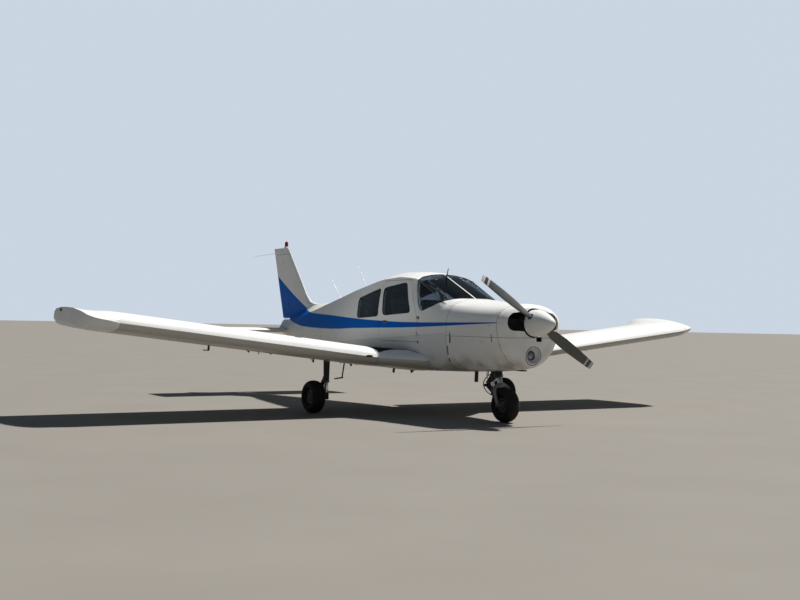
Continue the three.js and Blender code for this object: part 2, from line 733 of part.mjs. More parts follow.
// Wing tip cap, in sections from the end of the wing outward
const TIP_SECTIONS = [
  // x, lead, trail, share of the depth kept, share of the way up to the tip's raised edge
  [TIP_START + GAP, TIP_LEAD, WING_TRAIL, 1.0, 0],
  [4400, 2068, 3609, 1.0, 0.3],
  [4480, 2110, 3605, 0.98, 0.7],
  [4540, 2200, 3590, 0.97, 0.9],
  [4580, 2340, 3560, 0.92, 1],
  [4597, 2520, 3510, 0.84, 1],
  [4603, 2760, 3430, 0.7, 1],
];
// Height of the raised edge along the chord, [y, z]
const TIP_EDGE = [
  [TIP_LEAD, WING_Z], [2110, 607], [2290, 650], [2520, 697], [2800, 732], [3020, 740], [3250, 740],
  [3440, 722], [3540, 672], [WING_TRAIL, 556],
];
const TIP_NOSE = 0.12;

const upperSkin = tipOutline.slice(0, FRACTIONS.length);
const lowerSkin = [tipOutline[0], ...tipOutline.slice(FRACTIONS.length).reverse()];

// The upper skin runs out to the raised edge while the under side sweeps up to meet it
function wingTip(side) {
  const rings = TIP_SECTIONS.map(([x, lead, trail, share, rise]) => {
    const place = (fraction) => lead + (trail - lead) * fraction;
    const topAt = (fraction) => {
      const skin = alongTable(upperSkin, place(fraction));
      return skin + rise * (alongTable(TIP_EDGE, place(fraction)) - skin);
    };
    const lowAt = (fraction) => {
      const ends = Math.min(1, fraction / TIP_NOSE, (1 - fraction) / TIP_NOSE + 0.15);
      const kept = share * (1 - rise * (1 - Math.sqrt(ends)));
      const top = topAt(fraction);
      return top - (top - alongTable(lowerSkin, place(fraction))) * kept;
    };
    const top = FRACTIONS.map((fraction) => [side * x, place(fraction), topAt(fraction)]);
    const low = FRACTIONS.slice(1).map((fraction) => [side * x, place(fraction), lowAt(fraction)]);
    return top.concat(low.reverse());
  });
  return raised(loft(rings), side);
}

// Fin and rudder
const FIN_SECTIONS = [
  // height, lead, thickness
  [1100, 5080, 70],
  [1380, 5080, 70],
  [1404, 5460, 76],
  [1440, 5650, 80],
  [1540, 5795, 82],
  [1800, 6020, 74],
  [2240, 6402, 50],
  [FIN_TOP, 6465, 34],
];
const trailLine = (z) => FIN_TRAIL_Y + (z - FIN_TRAIL_Z) * FIN_SLOPE;

function rudderHinge(z) {
  return { y: trailLine(z) - RUDDER_CHORD, z };
}

function finWhole() {
  return loft(FIN_SECTIONS.map(([z, lead, thick]) => {
    return airfoil(lead, 0, trailLine(z), 0, thick, 0).map(([y, x]) => [x, y, z]);
  }));
}

const fullFin = finWhole();

// Round nose of the rudder: its radius is the fin's half thickness at the hinge
function hingeNose(extra, top) {
  const axis = new THREE.Vector3(0, FIN_SLOPE, 1);
  const [u, v] = crossAxes(axis);
  const sides = 16;
  return loft(FIN_SECTIONS.map(([z, lead, thick]) => {
    const height = z === FIN_TOP ? top : z;
    const centre = new THREE.Vector3(0, rudderHinge(height).y, height);
    const fraction = (rudderHinge(z).y - lead) / (trailLine(z) - lead);
    const radius = halfThickness(fraction) * thick + extra;
    return Array.from({ length: sides }, (_, i) => {
      const angle = (i / sides) * 2 * Math.PI;
      const p = centre.clone().addScaledVector(u, radius * Math.cos(angle));
      return p.addScaledVector(v, radius * Math.sin(angle)).toArray();
    });
  }));
}

function behindHinge(z0, z1) {
  const low = rudderHinge(z0);
  const high = rudderHinge(z1);
  return acrossX([[low.y, low.z], [low.y + 900, low.z], [high.y + 900, high.z], [high.y, high.z]], -200, 200);
}

const RUDDER_LUGS = [1400, 2050];

function rudderLugs() {
  const points = RUDDER_LUGS.map((z) => [0, rudderHinge(z).y, z]);
  return hingeLugs(points, [0, FIN_SLOPE, 1], [0, -1, FIN_SLOPE], 50);
}

function fin() {
  const body = fullFin.subtract(behindHinge(1000, 2400)).subtract(hingeNose(MOVING_GAP, FIN_TOP + 30));
  return body.add(rudderLugs().lugs).subtract(hullClearance);
}

function rudder() {
  const body = fullFin.intersect(behindHinge(RUDDER_BOTTOM, FIN_TOP));
  const nose = hingeNose(0, FIN_TOP).intersect(box(-200, 200, 0, FAR * 3, RUDDER_BOTTOM, FIN_TOP));
  return body.add(nose).subtract(rudderLugs().slots);
}

// Beacon on the fin: a base, then a lamp under a domed lens, [radius, height]
const BEACON_Y = 6520;
const BEACON = [[0, 0], [38, 0], [38, 14], [27, 20], [27, 75], [16, 98], [0, 104]];

// Stabilator: two halves on one tube, and the tab behind it
const STAB_TUBE = 26;
const TAB_RUNNING = 0.9;
const stabOutline = airfoil(STAB_LEAD, TAIL_Z, STAB_TRAIL, TAIL_Z, STAB_THICK, 0);
const tabFraction = (TAB_HINGE - STAB_LEAD) / (STAB_TRAIL - STAB_LEAD);
const tabHalf = halfThickness(tabFraction) * STAB_THICK;
const TAIL_NOTCH = [[-238, 5900], [-238, 6050], [-90, 6665], [90, 6665], [238, 6050], [238, 5900]];

function stabilator() {
  let whole = loft([at(stabOutline, -STAB_SEMI), at(stabOutline, STAB_SEMI)]);
  const bayEnd = TAB_SEMI + MOVING_GAP;
  whole = whole.subtract(box(-bayEnd, bayEnd, TAB_HINGE, FAR * 3, 0, FAR));
  const barrel = tabHalf + TAB_RUNNING;
  whole = whole.subtract(rod([-bayEnd, TAB_HINGE, TAIL_Z], [bayEnd, TAB_HINGE, TAIL_Z], barrel, barrel, 14));
  whole = whole.subtract(upZ(TAIL_NOTCH, 500, 1500));
  return whole.add(rod([-300, STAB_PIVOT, TAIL_Z], [300, STAB_PIVOT, TAIL_Z], STAB_TUBE));
}

function stabTab() {
  const whole = loft([at(stabOutline, -TAB_SEMI), at(stabOutline, TAB_SEMI)]);
  const back = whole.intersect(box(-FAR, FAR, TAB_HINGE, FAR * 3, 0, FAR));
  return back.add(rod([-TAB_SEMI, TAB_HINGE, TAIL_Z], [TAB_SEMI, TAB_HINGE, TAIL_Z], tabHalf, tabHalf, 14));
}

// Propeller blades from a table of sections along the radius
const BLADE = [
  // radius, chord, thickness, pitch in degrees
  [40, 60, 54, 50],
  [160, 64, 40, 44],
  [260, 110, 26, 36],
  [430, 126, 17, 27],
  [600, 122, 12, 21],
  [780, 106, 9, 17],
  [900, 94, 7, 15.5],
  [PROP_RADIUS, 84, 5, 15],
];
const BLADE_POINTS = 12;

function blade(turn) {
  const out = new THREE.Vector3(-Math.cos(PROP_ANGLE), 0, Math.sin(PROP_ANGLE)).multiplyScalar(turn);
  const axis = new THREE.Vector3(0, 1, 0);
  const along = new THREE.Vector3().crossVectors(axis, out);
  return loft(BLADE.map(([radius, chord, thick, pitch]) => {
    const angle = pitch * RAD;
    return Array.from({ length: BLADE_POINTS }, (_, i) => {
      const t = (i / BLADE_POINTS) * 2 * Math.PI;
      const a = 0.5 * chord * Math.cos(t);
      const b = 0.5 * thick * Math.sin(t);
      const p = new THREE.Vector3(0, PROP_Y, PROP_Z).addScaledVector(out, radius);
      p.addScaledVector(along, a * Math.cos(angle) - b * Math.sin(angle));
      return p.addScaledVector(axis, a * Math.sin(angle) + b * Math.cos(angle)).toArray();
    });
  }));
}

const HUB_RADIUS = 58;
const SHAFT_RADIUS = 45;
const SHAFT_END = 470;

function propeller() {
  const hub = rod([0, PROP_Y - 50, PROP_Z], [0, SPINNER_BACK + 5, PROP_Z], HUB_RADIUS);
  const shaft = rod([0, PROP_Y, PROP_Z], [0, SHAFT_END - GAP, PROP_Z], SHAFT_RADIUS);
  return hub.add(shaft).add(blade(1)).add(blade(-1));
}

const SLOT_RADIUS = 38;

// Spinner: a pointed cap on a back plate, with a slot for each blade
function spinner() {
  const length = SPINNER_BACK - SPINNER_TIP;
  const steps = 7;
  const skin = (inward) => Array.from({ length: steps + 1 }, (_, i) => {
    const t = i / steps;
    const radius = (SPINNER_RADIUS - inward) * Math.sin(t * Math.PI * 0.5) ** 0.72;
    return [radius, SPINNER_TIP + inward + t * (length - 2 * inward)];
  });
  const close = (profile) => [...profile, [0, profile[profile.length - 1][1]]];
  const shell = turned(close(skin(0)), [0, 0, PROP_Z], [0, 1, 0], 24);
  const hollow = turned(close(skin(5)), [0, 0, PROP_Z], [0, 1, 0], 24);
  let cap = shell.subtract(hollow).subtract(rod([0, 100, PROP_Z], [0, 300, PROP_Z], HUB_RADIUS + GAP));
  for (const turn of [-1, 1]) {
    const slot = rod([0, PROP_Y, PROP_Z], [
      -turn * 300 * Math.cos(PROP_ANGLE), PROP_Y, PROP_Z + turn * 300 * Math.sin(PROP_ANGLE),
    ], SLOT_RADIUS);
    cap = cap.subtract(slot);
  }
  return cap;
}

// Wheels
function tyreProfile() {
  const middle = 150;
  const points = [];
  for (let i = 0; i <= 12; i += 1) {
    const angle = (-58 + (i / 12) * 296) * RAD;
    const c = Math.cos(angle);
    const s = Math.sin(angle);
    const x = 0.5 * TYRE_WIDTH * Math.sign(c) * Math.abs(c) ** 0.85;
    const r = middle + (TYRE_RADIUS - middle) * Math.sign(s) * Math.abs(s) ** 0.9;
    points.push([r, x]);
  }
  points.push([BEAD_RADIUS, -42], [BEAD_RADIUS, 42]);
  points.push(points[0]);
  return points;
}

const RIM_HALF = 41.5;
const WHEEL_SIDES = 32;

function tyre(centre) {
  return turned(tyreProfile(), centre, [1, 0, 0], WHEEL_SIDES);
}

// Rim with a dished face on each side and a bore for the axle
function rim(centre) {
  const outer = BEAD_RADIUS - GAP;
  const bore = AXLE_RADIUS + 0.6;
  const profile = [
    [bore, -46], [40, -46], [48, -20], [66, -20], [72, -RIM_HALF], [outer, -RIM_HALF],
    [outer, RIM_HALF], [72, RIM_HALF], [66, 20], [48, 20], [40, 46], [bore, 46], [bore, -46],
  ];
  return turned(profile, centre, [1, 0, 0], WHEEL_SIDES);
}

// Main leg: cylinder under the wing, sliding tube, torque links behind, and the axle
function mainLeg(side) {
  const x = side * MAIN_LEG_X;
  const z = TYRE_RADIUS;
  const cylinder = rod([x, MAIN_Y, 385], [x, MAIN_Y, 800], 36, 44);
  const tube = rod([x, MAIN_Y, z - 10], [x, MAIN_Y, 400], 24);
  const foot = rod([x, MAIN_Y, z - 36], [x, MAIN_Y, z + 42], 34);
  const axle = rod([x, MAIN_Y, z], [side * (HALF_TRACK + 40), MAIN_Y, z], AXLE_RADIUS);
  const behind = (points) => points.map(([aft, height]) => [MAIN_Y + aft, height]);
  const upperLink = acrossX(behind([[20, 470], [20, 425], [118, 335], [130, 350]]), x - 26, x + 26);
  const lowerLink = acrossX(behind([[20, 210], [20, 250], [118, 350], [132, 336]]), x - 22, x + 22);
  const leg = cylinder.add(tube).add(foot).add(axle).add(upperLink).add(lowerLink);
  const skin = wingSolids[side];
  return leg.subtract(skin).subtract(skin.translate([0, 0, -GAP]));
}

// Nose leg: along a raked line from the axle, s is the distance up that line
function onNoseLine(s, x = 0, aft = 0) {
  const up = [Math.sin(NOSE_RAKE), Math.cos(NOSE_RAKE)];
  return [x, NOSE_Y + s * up[0] + aft * up[1], TYRE_RADIUS + s * up[1] - aft * up[0]];
}

const HOUSING_LOW = 400;
const CROWN_LOW = 232;
const FORK_HALF = 112;
const COLLAR_LOW = 345;
// Right half of the fork's arch, [across, up the leg's line]
const FORK_ARCH = [[FORK_HALF, -10], [FORK_HALF, 130], [108, 188], [88, 230], [48, 253], [0, 258]];

function noseHousing() {
  const body = rod(onNoseLine(HOUSING_LOW + GAP), onNoseLine(620), 56);
  return body.subtract(hullClearance);
}

function noseFork() {
  const tube = rod(onNoseLine(CROWN_LOW + 10), onNoseLine(HOUSING_LOW), 32);
  const collar = rod(onNoseLine(COLLAR_LOW), onNoseLine(HOUSING_LOW), 50);
  const crown = rod(onNoseLine(CROWN_LOW), onNoseLine(CROWN_LOW + 34), 46);
  const axle = rod(onNoseLine(0, -FORK_HALF - 20), onNoseLine(0, FORK_HALF + 20), AXLE_RADIUS);
  const rightSide = FORK_ARCH.map(([x, s]) => onNoseLine(s, -x));
  const leftSide = FORK_ARCH.slice(0, -1).reverse().map(([x, s]) => onNoseLine(s, x));
  const arch = bentRod(rightSide.concat(leftSide), [0, -Math.cos(NOSE_RAKE), Math.sin(NOSE_RAKE)], 20);
  const fork = tube.add(collar).add(crown).add(axle).add(arch);
  const knee = onNoseLine(343, 0, 275);
  const barrel = rod(onNoseLine(343, -24, 275), onNoseLine(343, 24, 275), 17, 17, 12);
  const upperLink = rod(onNoseLine(372, 0, 30), knee, 17, 13, 10);
  const lowerLinks = [-1, 1].map((turn) => rod(knee, onNoseLine(120, turn * FORK_HALF, 14), 12, 11, 10));
  return fork.add(barrel).add(upperLink).add(lowerLinks[0]).add(lowerLinks[1]);
}

// Assembly

function add(name, solid, look) {
  const mesh = solid.getMesh();
  const stride = mesh.numProp;
  const positions = [];
  for (let i = 0; i < mesh.vertProperties.length; i += stride) {
    positions.push(mesh.vertProperties[i], mesh.vertProperties[i + 1] + SHIFT_Y, mesh.vertProperties[i + 2]);
  }
  const geometry = new THREE.BufferGeometry();
  geometry.setAttribute("position", new THREE.Float32BufferAttribute(positions, 3));
  geometry.setIndex(Array.from(mesh.triVerts));
  geometry.computeVertexNormals();
  const piece = new THREE.Mesh(geometry, new THREE.MeshStandardMaterial(LOOKS[look]));
  piece.name = name;
  group.add(piece);
}

const SIDES = [["left", 1], ["right", -1]];
const wingSolids = { 1: wing(1), "-1": wing(-1) };

add("nose_bowl", noseBowl(), "paint");
add("cowl_top", cowl.intersect(box(-FAR, FAR, 0, FAR, COWL_SPLIT_Z + GAP, FAR)), "paint");
add("cowl_lower", cowl.intersect(box(-FAR, FAR, 0, FAR, 0, COWL_SPLIT_Z)).subtract(COWL_OUTLET), "paint");
add("landing_light", landingLight(), "rim");
add("engine_block", engineBlock(), "engine");
add("exhaust_pipe", exhaustPipe(), "dark");
add("boarding_step", boardingStep(), "dark");
add("firewall", slice(outerHull, FIREWALL, FIREWALL + FIREWALL_THICK), "dark");
add("cabin_floor", cabinFloor(), "paint");
add("front_body", cabin.intersect(acrossX(frontRegion, -FAR, FAR)).add(knuckles(0, -1)), "paint");
add("side_panel_left", cabin.intersect(acrossX(leftRegion, 0, FAR)), "paint");
add("side_panel_right", cabin.intersect(acrossX(rightRegion, -FAR, 0)), "paint");
add("cabin_roof", cabin.intersect(acrossX(roofRegion, -FAR, FAR)), "paint");
add("bulkhead", bulkhead(), "dark");
add("tail_cone", tailCone(), "paint");
add("fin", fin(), "paint");
add("rudder", rudder(), "paint");
add("windscreen_left", pane(WINDSCREEN, POST_HALF + GAP, FAR), "glass");
add("windscreen_right", pane(WINDSCREEN, -FAR, -POST_HALF - GAP), "glass");
add("front_window_left", pane(FRONT_WINDOW, 0, FAR), "glass");
add("door_window", pane(FRONT_WINDOW, -FAR, 0), "glass");
add("rear_window_left", pane(REAR_WINDOW, 0, FAR), "glass");
add("rear_window_right", pane(REAR_WINDOW, -FAR, 0), "glass");
add("cabin_door", doorLeaf(), "paint");
add("instrument_panel", instrumentPanel(), "dark");
for (const [label, side] of SIDES) {
  add(`yoke_${label}`, controlYoke(side * SEAT_X), "dark");
  const seatX = side * SEAT_X;
  add(`front_seat_${label}`, acrossX(FRONT_SEAT, seatX - SEAT_HALF, seatX + SEAT_HALF), "seat");
  add(`wing_${label}`, wingSolids[side], "paint");
  add(`wing_tip_${label}`, wingTip(side), "paint");
  for (const [control, span] of Object.entries(CONTROLS)) {
    add(`${control}_${label}`, controlSurface(side, ...span), "paint");
  }
  add(`main_leg_${label}`, mainLeg(side), "leg");
  add(`main_tyre_${label}`, tyre([side * HALF_TRACK, MAIN_Y, TYRE_RADIUS]), "rubber");
  add(`main_rim_${label}`, rim([side * HALF_TRACK, MAIN_Y, TYRE_RADIUS]), "rim");
}
add("rear_seat", acrossX(REAR_SEAT, -REAR_SEAT_HALF, REAR_SEAT_HALF), "seat");
add("stabilator", stabilator(), "paint");
add("stabilator_tab", stabTab(), "paint");
add("propeller", propeller(), "blade");
add("spinner", spinner(), "paint");
add("nose_housing", noseHousing(), "leg");
add("nose_fork", noseFork(), "leg");
add("nose_tyre", tyre([0, NOSE_Y, TYRE_RADIUS]), "rubber");
add("nose_rim", rim([0, NOSE_Y, TYRE_RADIUS]), "rim");
add("beacon", turned(BEACON, [0, BEACON_Y, FIN_TOP + GAP], [0, 0, 1], 16), "red");

export default group;
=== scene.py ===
# %% [markdown]
# # Dressing a light aircraft
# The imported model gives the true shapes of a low-wing light aircraft as plain solids.
# This lesson lights them, gives every one of them a finish, and adds the small and soft
# things that solids leave out, such as tyre treads, seat cushions and aerials.
# All sizes are in metres, with the nose toward -Y, the left wing toward +X and Z up.

# %% Load the frame
import math

import bmesh
import bpy
from mathutils import Matrix, Vector
from mathutils.bvhtree import BVHTree


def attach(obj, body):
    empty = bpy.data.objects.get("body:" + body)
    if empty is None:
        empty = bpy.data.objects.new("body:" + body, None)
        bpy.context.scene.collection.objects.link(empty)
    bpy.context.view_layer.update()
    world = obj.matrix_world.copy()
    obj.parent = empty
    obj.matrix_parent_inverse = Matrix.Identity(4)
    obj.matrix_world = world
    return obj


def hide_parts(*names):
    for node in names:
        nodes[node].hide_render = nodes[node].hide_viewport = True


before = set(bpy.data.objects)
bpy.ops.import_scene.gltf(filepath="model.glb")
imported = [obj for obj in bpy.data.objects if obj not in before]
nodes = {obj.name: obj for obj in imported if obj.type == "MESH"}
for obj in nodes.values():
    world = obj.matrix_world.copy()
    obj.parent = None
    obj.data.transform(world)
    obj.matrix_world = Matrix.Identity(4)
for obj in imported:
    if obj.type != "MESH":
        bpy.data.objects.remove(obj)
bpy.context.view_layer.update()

# %% [markdown]
# ## Camera
# The photograph was taken from head height off the right of the nose. Its place, its turn
# and its focal length were found by matching wing tips, wheels, fin and spinner. A rotation
# is built from three plain turns, because that reads the way a photographer works.

# %% Camera at the photograph's viewing angle
CAMERA_PLACE = Vector((-8.664, -13.855, 1.218))
CAMERA_TURN = math.radians(-32.55)
CAMERA_TILT = math.radians(0.84)
CAMERA_ROLL = math.radians(1.02)
FOCAL_PIXELS = 1193.3
PHOTO_WIDTH = 800

camera_data = bpy.data.cameras.new("photo_camera")
camera_data.sensor_width = 36
camera_data.lens = FOCAL_PIXELS * camera_data.sensor_width / PHOTO_WIDTH
camera_data.clip_end = 500
camera = bpy.data.objects.new("photo_camera", camera_data)
bpy.context.scene.collection.objects.link(camera)
camera.matrix_world = (
    Matrix.Translation(CAMERA_PLACE)
    @ Matrix.Rotation(CAMERA_TURN, 4, "Z")
    @ Matrix.Rotation(math.pi / 2 + CAMERA_TILT, 4, "X")
    @ Matrix.Rotation(CAMERA_ROLL, 4, "Z")
)
bpy.context.scene.camera = camera
print("lens:", round(camera_data.lens, 2), "mm")

# %% [markdown]
# ## Shader helpers
# Every finish is a small network of nodes. One helper adds a node and sets or links its
# inputs in one line. The value that a node puts out is wrapped, so that plus, minus, times
# and divide add a Math node, and a finish reads like the formula behind it.


# %% A value that flows between nodes
class Value:
    def __init__(self, socket):
        self.socket = socket
        self.tree = socket.id_data

    def __add__(self, other):
        return calc("ADD", self, other)

    def __sub__(self, other):
        return calc("SUBTRACT", self, other)

    def __rsub__(self, other):
        return calc("SUBTRACT", other, self)

    def __mul__(self, other):
        return calc("MULTIPLY", self, other)

    def __truediv__(self, other):
        return calc("DIVIDE", self, other)


# %% New nodes, with their inputs set or linked
def tree_of(values):
    return next(value.tree for value in values if isinstance(value, Value))


def feed(node, inputs):
    for key, value in inputs.items():
        if isinstance(value, Value):
            node.id_data.links.new(value.socket, node.inputs[key])
        else:
            node.inputs[key].default_value = value
    return node


def step(tree, kind, inputs, output=0, **settings):
    node = tree.nodes.new(kind)
    for key, value in settings.items():
        setattr(node, key, value)
    return Value(feed(node, inputs).outputs[output])


def calc(operation, *values, clamp=False):
    inputs = dict(enumerate(values))
    return step(tree_of(values), "ShaderNodeMath", inputs, operation=operation, use_clamp=clamp)


# %% Colours, ranges and patterns
def mix_colour(share, first, second):
    inputs = {0: share, 6: first, 7: second}
    return step(tree_of(inputs.values()), "ShaderNodeMix", inputs, 2, data_type="RGBA")


def smooth_range(value, low, high, to_low=0.0, to_high=1.0):
    words = {"Value": value, "From Min": low, "From Max": high, "To Min": to_low, "To Max": to_high}
    return step(value.tree, "ShaderNodeMapRange", words, interpolation_type="SMOOTHSTEP")


def ramp(value, low, soft):
    return calc("DIVIDE", value - low, soft, clamp=True)


def between(value, low, high, soft=0.002):
    return ramp(value, low, soft) * calc("DIVIDE", high - value, soft, clamp=True)


def noise(place, scale, detail, roughness=0.5):
    words = {"Vector": place, "Scale": scale, "Detail": detail, "Roughness": roughness}
    return step(place.tree, "ShaderNodeTexNoise", words)


def waves(place, scale, axis):
    words = {"Vector": place, "Scale": scale}
    return step(place.tree, "ShaderNodeTexWave", words, "Fac", bands_direction=axis)


def radius_from(first, second, first_centre=0.0, second_centre=0.0):
    across = calc("POWER", first - first_centre, 2.0)
    along = calc("POWER", second - second_centre, 2.0)
    return calc("SQRT", across + along)


# %% Places on a piece, and a new material
def axes_of(vector):
    return {axis: step(vector.tree, "ShaderNodeSeparateXYZ", {0: vector}, axis) for axis in "XYZ"}


def coordinate(tree, kind):
    return step(tree, "ShaderNodeTexCoord", {}, kind)


def material(name):
    made = bpy.data.materials.new(name)
    made.use_nodes = True
    place = coordinate(made.node_tree, "Object")
    print("material:", name)
    return made.node_tree.nodes["Principled BSDF"], place, axes_of(place)


def bump(shader, height, strength, distance):
    words = {"Height": height, "Strength": strength, "Distance": distance}
    feed(shader, {"Normal": step(height.tree, "ShaderNodeBump", words)})


# %% [markdown]
# ## Shared effects
# Dirt, rivets and panel seams come back in many finishes. Each is a node group with named
# inputs and outputs, built once here and placed in a material with its own values.


# %% Start a group with its sockets, and use one
def effect(name, inputs, outputs):
    group = bpy.data.node_groups.new(name, "ShaderNodeTree")
    for label, kind, value in inputs:
        socket = group.interface.new_socket(label, in_out="INPUT", socket_type=f"NodeSocket{kind}")
        if value is not None:
            socket.default_value = value
    for label, kind in outputs:
        group.interface.new_socket(label, in_out="OUTPUT", socket_type=f"NodeSocket{kind}")
    entry = group.nodes.new("NodeGroupInput")
    given = {socket.name: Value(socket) for socket in entry.outputs if socket.name}
    return group, given, group.nodes.new("NodeGroupOutput")


def use(group, inputs):
    node = tree_of(inputs.values()).nodes.new("ShaderNodeGroup")
    node.node_tree = group
    feed(node, inputs)
    return {socket.name: Value(socket) for socket in node.outputs}


# %% [markdown]
# ### Soiling
# Dust and oil settle on an aircraft in broad clouds and in fine specks. A painted picture
# would need an unwrapped skin. Two noise textures on the object's own coordinates need
# none, and they stay in place when the piece moves or is exported.

# %% Soiling: broad stains and fine specks over a colour
soiling, given, result = effect(
    "soiling",
    [
        ("Place", "Vector", None),
        ("Clean", "Color", (0.8, 0.8, 0.8, 1)),
        ("Dirt", "Color", (0.3, 0.28, 0.25, 1)),
        ("Amount", "Float", 0.2),
        ("Gloss", "Float", 0.3),
    ],
    [("Color", "Color"), ("Roughness", "Float"), ("Height", "Float")],
)
STAIN_SHARE, SPECK_SHARE = 0.7, 0.3
stretched = step(soiling, "ShaderNodeMapping", {"Vector": given["Place"], "Scale": (1.0, 0.35, 1.0)})
stained = smooth_range(noise(stretched, 3.5, 6, 0.6), 0.42, 0.72)
specks = noise(given["Place"], 60, 3)
speckled = smooth_range(specks, 0.55, 0.75)
share = calc("MULTIPLY", stained * STAIN_SHARE + speckled * SPECK_SHARE, given["Amount"], clamp=True)
feed(result, {
    "Color": mix_colour(share, given["Clean"], given["Dirt"]),
    "Roughness": given["Gloss"] + share * 0.5,
    "Height": specks,
})


def soil(place, clean, dirt, amount, gloss):
    return use(soiling, {"Place": place, "Clean": clean, "Dirt": dirt, "Amount": amount, "Gloss": gloss})


# %% [markdown]
# ### Rivets
# Hundreds of flush rivets hold the skins. As meshes they would cost many faces for dots of
# six millimetres, so they are drawn. The place on the skin is folded into one cell of a
# lattice, and the distance from the middle of the cell gives the dot.

# %% Rivets: dots in rows, given two coordinates on the skin
rivets, given, result = effect(
    "rivets",
    [
        ("Along", "Float", None), ("Across", "Float", None), ("Pitch", "Float", 0.035),
        ("Row", "Float", 0.4), ("Radius", "Float", 0.0032),
    ],
    [("Mask", "Float")],
)


def off_lattice(value, pitch):
    return (calc("FRACT", value / pitch) - 0.5) * pitch


along = off_lattice(given["Along"], given["Pitch"])
across = off_lattice(given["Across"], given["Row"])
distance = radius_from(along, across)
feed(result, {"Mask": calc("SUBTRACT", 1.0, distance / given["Radius"], clamp=True)})

# %% [markdown]
# ### Seams
# Where two sheets meet, the aircraft shows a thin dark line. A groove could be cut, but the
# solids stay as they are, so the line is drawn where one coordinate passes the joint. Most
# joints lie square to the aircraft, and one coordinate is enough.

# %% Seam: a thin dark joint where a coordinate passes a place
seam, given, result = effect(
    "seam",
    [("Value", "Float", None), ("Place", "Float", 0.0), ("Width", "Float", 0.003)],
    [("Mask", "Float")],
)
away = calc("ABSOLUTE", given["Value"] - given["Place"])
feed(result, {"Mask": calc("SUBTRACT", 1.0, away / given["Width"], clamp=True)})
print("effects:", [group.name for group in bpy.data.node_groups])

# %% [markdown]
# ## Smooth skins
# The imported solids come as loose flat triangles. Real sheet metal is curved, so a geometry
# node modifier welds the triangles and shades them smoothly, and keeps an edge sharp where
# two faces meet at a clear angle. The mesh itself isn't touched.

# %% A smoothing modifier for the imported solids
SHARP_ANGLE = math.radians(34)
WELD_DISTANCE = 0.00004

smoothing = bpy.data.node_groups.new("smooth_skin", "GeometryNodeTree")
for way in ("INPUT", "OUTPUT"):
    smoothing.interface.new_socket("Geometry", in_out=way, socket_type="NodeSocketGeometry")
loose = Value(smoothing.nodes.new("NodeGroupInput").outputs[0])
welded = step(smoothing, "GeometryNodeMergeByDistance", {"Geometry": loose, "Distance": WELD_DISTANCE})
smooth_faces = {"Geometry": welded, "Shade Smooth": True}
rounded = step(smoothing, "GeometryNodeSetShadeSmooth", smooth_faces, domain="FACE")
angle = step(smoothing, "GeometryNodeInputMeshEdgeAngle", {}, "Unsigned Angle")
sharp = step(smoothing, "FunctionNodeCompare", {0: angle, 1: SHARP_ANGLE}, operation="GREATER_THAN")
sharp_edges = {"Geometry": rounded, "Selection": sharp, "Shade Smooth": False}
creased = step(smoothing, "GeometryNodeSetShadeSmooth", sharp_edges, domain="EDGE")
feed(smoothing.nodes.new("NodeGroupOutput"), {0: creased})
for node in nodes.values():
    node.modifiers.new("smooth_skin", "NODES").node_group = smoothing
print("smoothed solids:", len(nodes))

# %% [markdown]
# ## White paint with a blue stripe
# The whole aircraft is white, a little dusty. A blue stripe runs from the nose bowl, widens
# toward the tail and climbs the fin. Its two edges are curves of height against length, so a
# Float Curve node holds each edge, and the paint is blue between them.

# %% Paint colours and the stripe's edges
WHITE = (0.80, 0.80, 0.78, 1)
BLUE = (0.001, 0.115, 0.50, 1)
DUST = (0.36, 0.33, 0.27, 1)
OILY = (0.19, 0.155, 0.11, 1)
SEAM_DARK = (0.05, 0.05, 0.05, 1)
STRIPE_SPAN = (-3.03, 3.3)
STRIPE_HEIGHTS = (1.0, 1.5)
STRIPE_TOP = [
    (-3.03, 1.184), (-2.82, 1.181), (-2.12, 1.170), (-1.61, 1.1645), (-1.16, 1.1637), (-0.68, 1.1745),
    (-0.43, 1.181), (-0.07, 1.194), (0.36, 1.214), (0.83, 1.236), (1.36, 1.253), (1.70, 1.267),
    (1.82, 1.48), (3.3, 1.48),
]
STRIPE_BOTTOM = [
    (-3.03, 1.172), (-2.82, 1.162), (-2.12, 1.128), (-1.61, 1.1055), (-1.16, 1.0906), (-0.43, 1.0757),
    (0.13, 1.061), (0.44, 1.048), (0.80, 1.042), (1.18, 1.043), (1.59, 1.051), (1.99, 1.0645), (2.26, 1.097),
    (2.58, 1.127), (2.76, 1.152), (2.98, 1.178), (3.3, 1.19),
]


def edge_height(length, points):
    (low, high), (floor_z, top_z) = STRIPE_SPAN, STRIPE_HEIGHTS
    share = step(length.tree, "ShaderNodeMapRange", {"Value": length, "From Min": low, "From Max": high})
    height = step(length.tree, "ShaderNodeFloatCurve", {"Value": share})
    mapping = height.socket.node.mapping
    curve = mapping.curves[0]
    while len(curve.points) < len(points):
        curve.points.new(0.5, 0.5)
    for point, (y, z) in zip(curve.points, points):
        point.location = ((y - low) / (high - low), (z - floor_z) / (top_z - floor_z))
        point.handle_type = "VECTOR"
    mapping.update()
    return height * (top_z - floor_z) + floor_z


# %% Where the body is blue
# On top of the tail the border runs out from the fin's root to the crease along the side
ROOF_BORDER_Y, ROOF_BORDER_SLOPE, CREASE_Z = 2.42, -2.56, 1.277
BOWL_SEAM_Y = -3.026


def body_stripe(axes):
    height = between(axes["Z"], edge_height(axes["Y"], STRIPE_BOTTOM), edge_height(axes["Y"], STRIPE_TOP))
    side = height * calc("GREATER_THAN", axes["Y"], BOWL_SEAM_Y)
    border = calc("ABSOLUTE", axes["X"]) * ROOF_BORDER_SLOPE + ROOF_BORDER_Y
    behind = ramp(axes["Y"], border, 0.004)
    roof = ramp(axes["Z"], CREASE_Z, 0.002)
    return side * (1.0 - roof * (1.0 - behind))


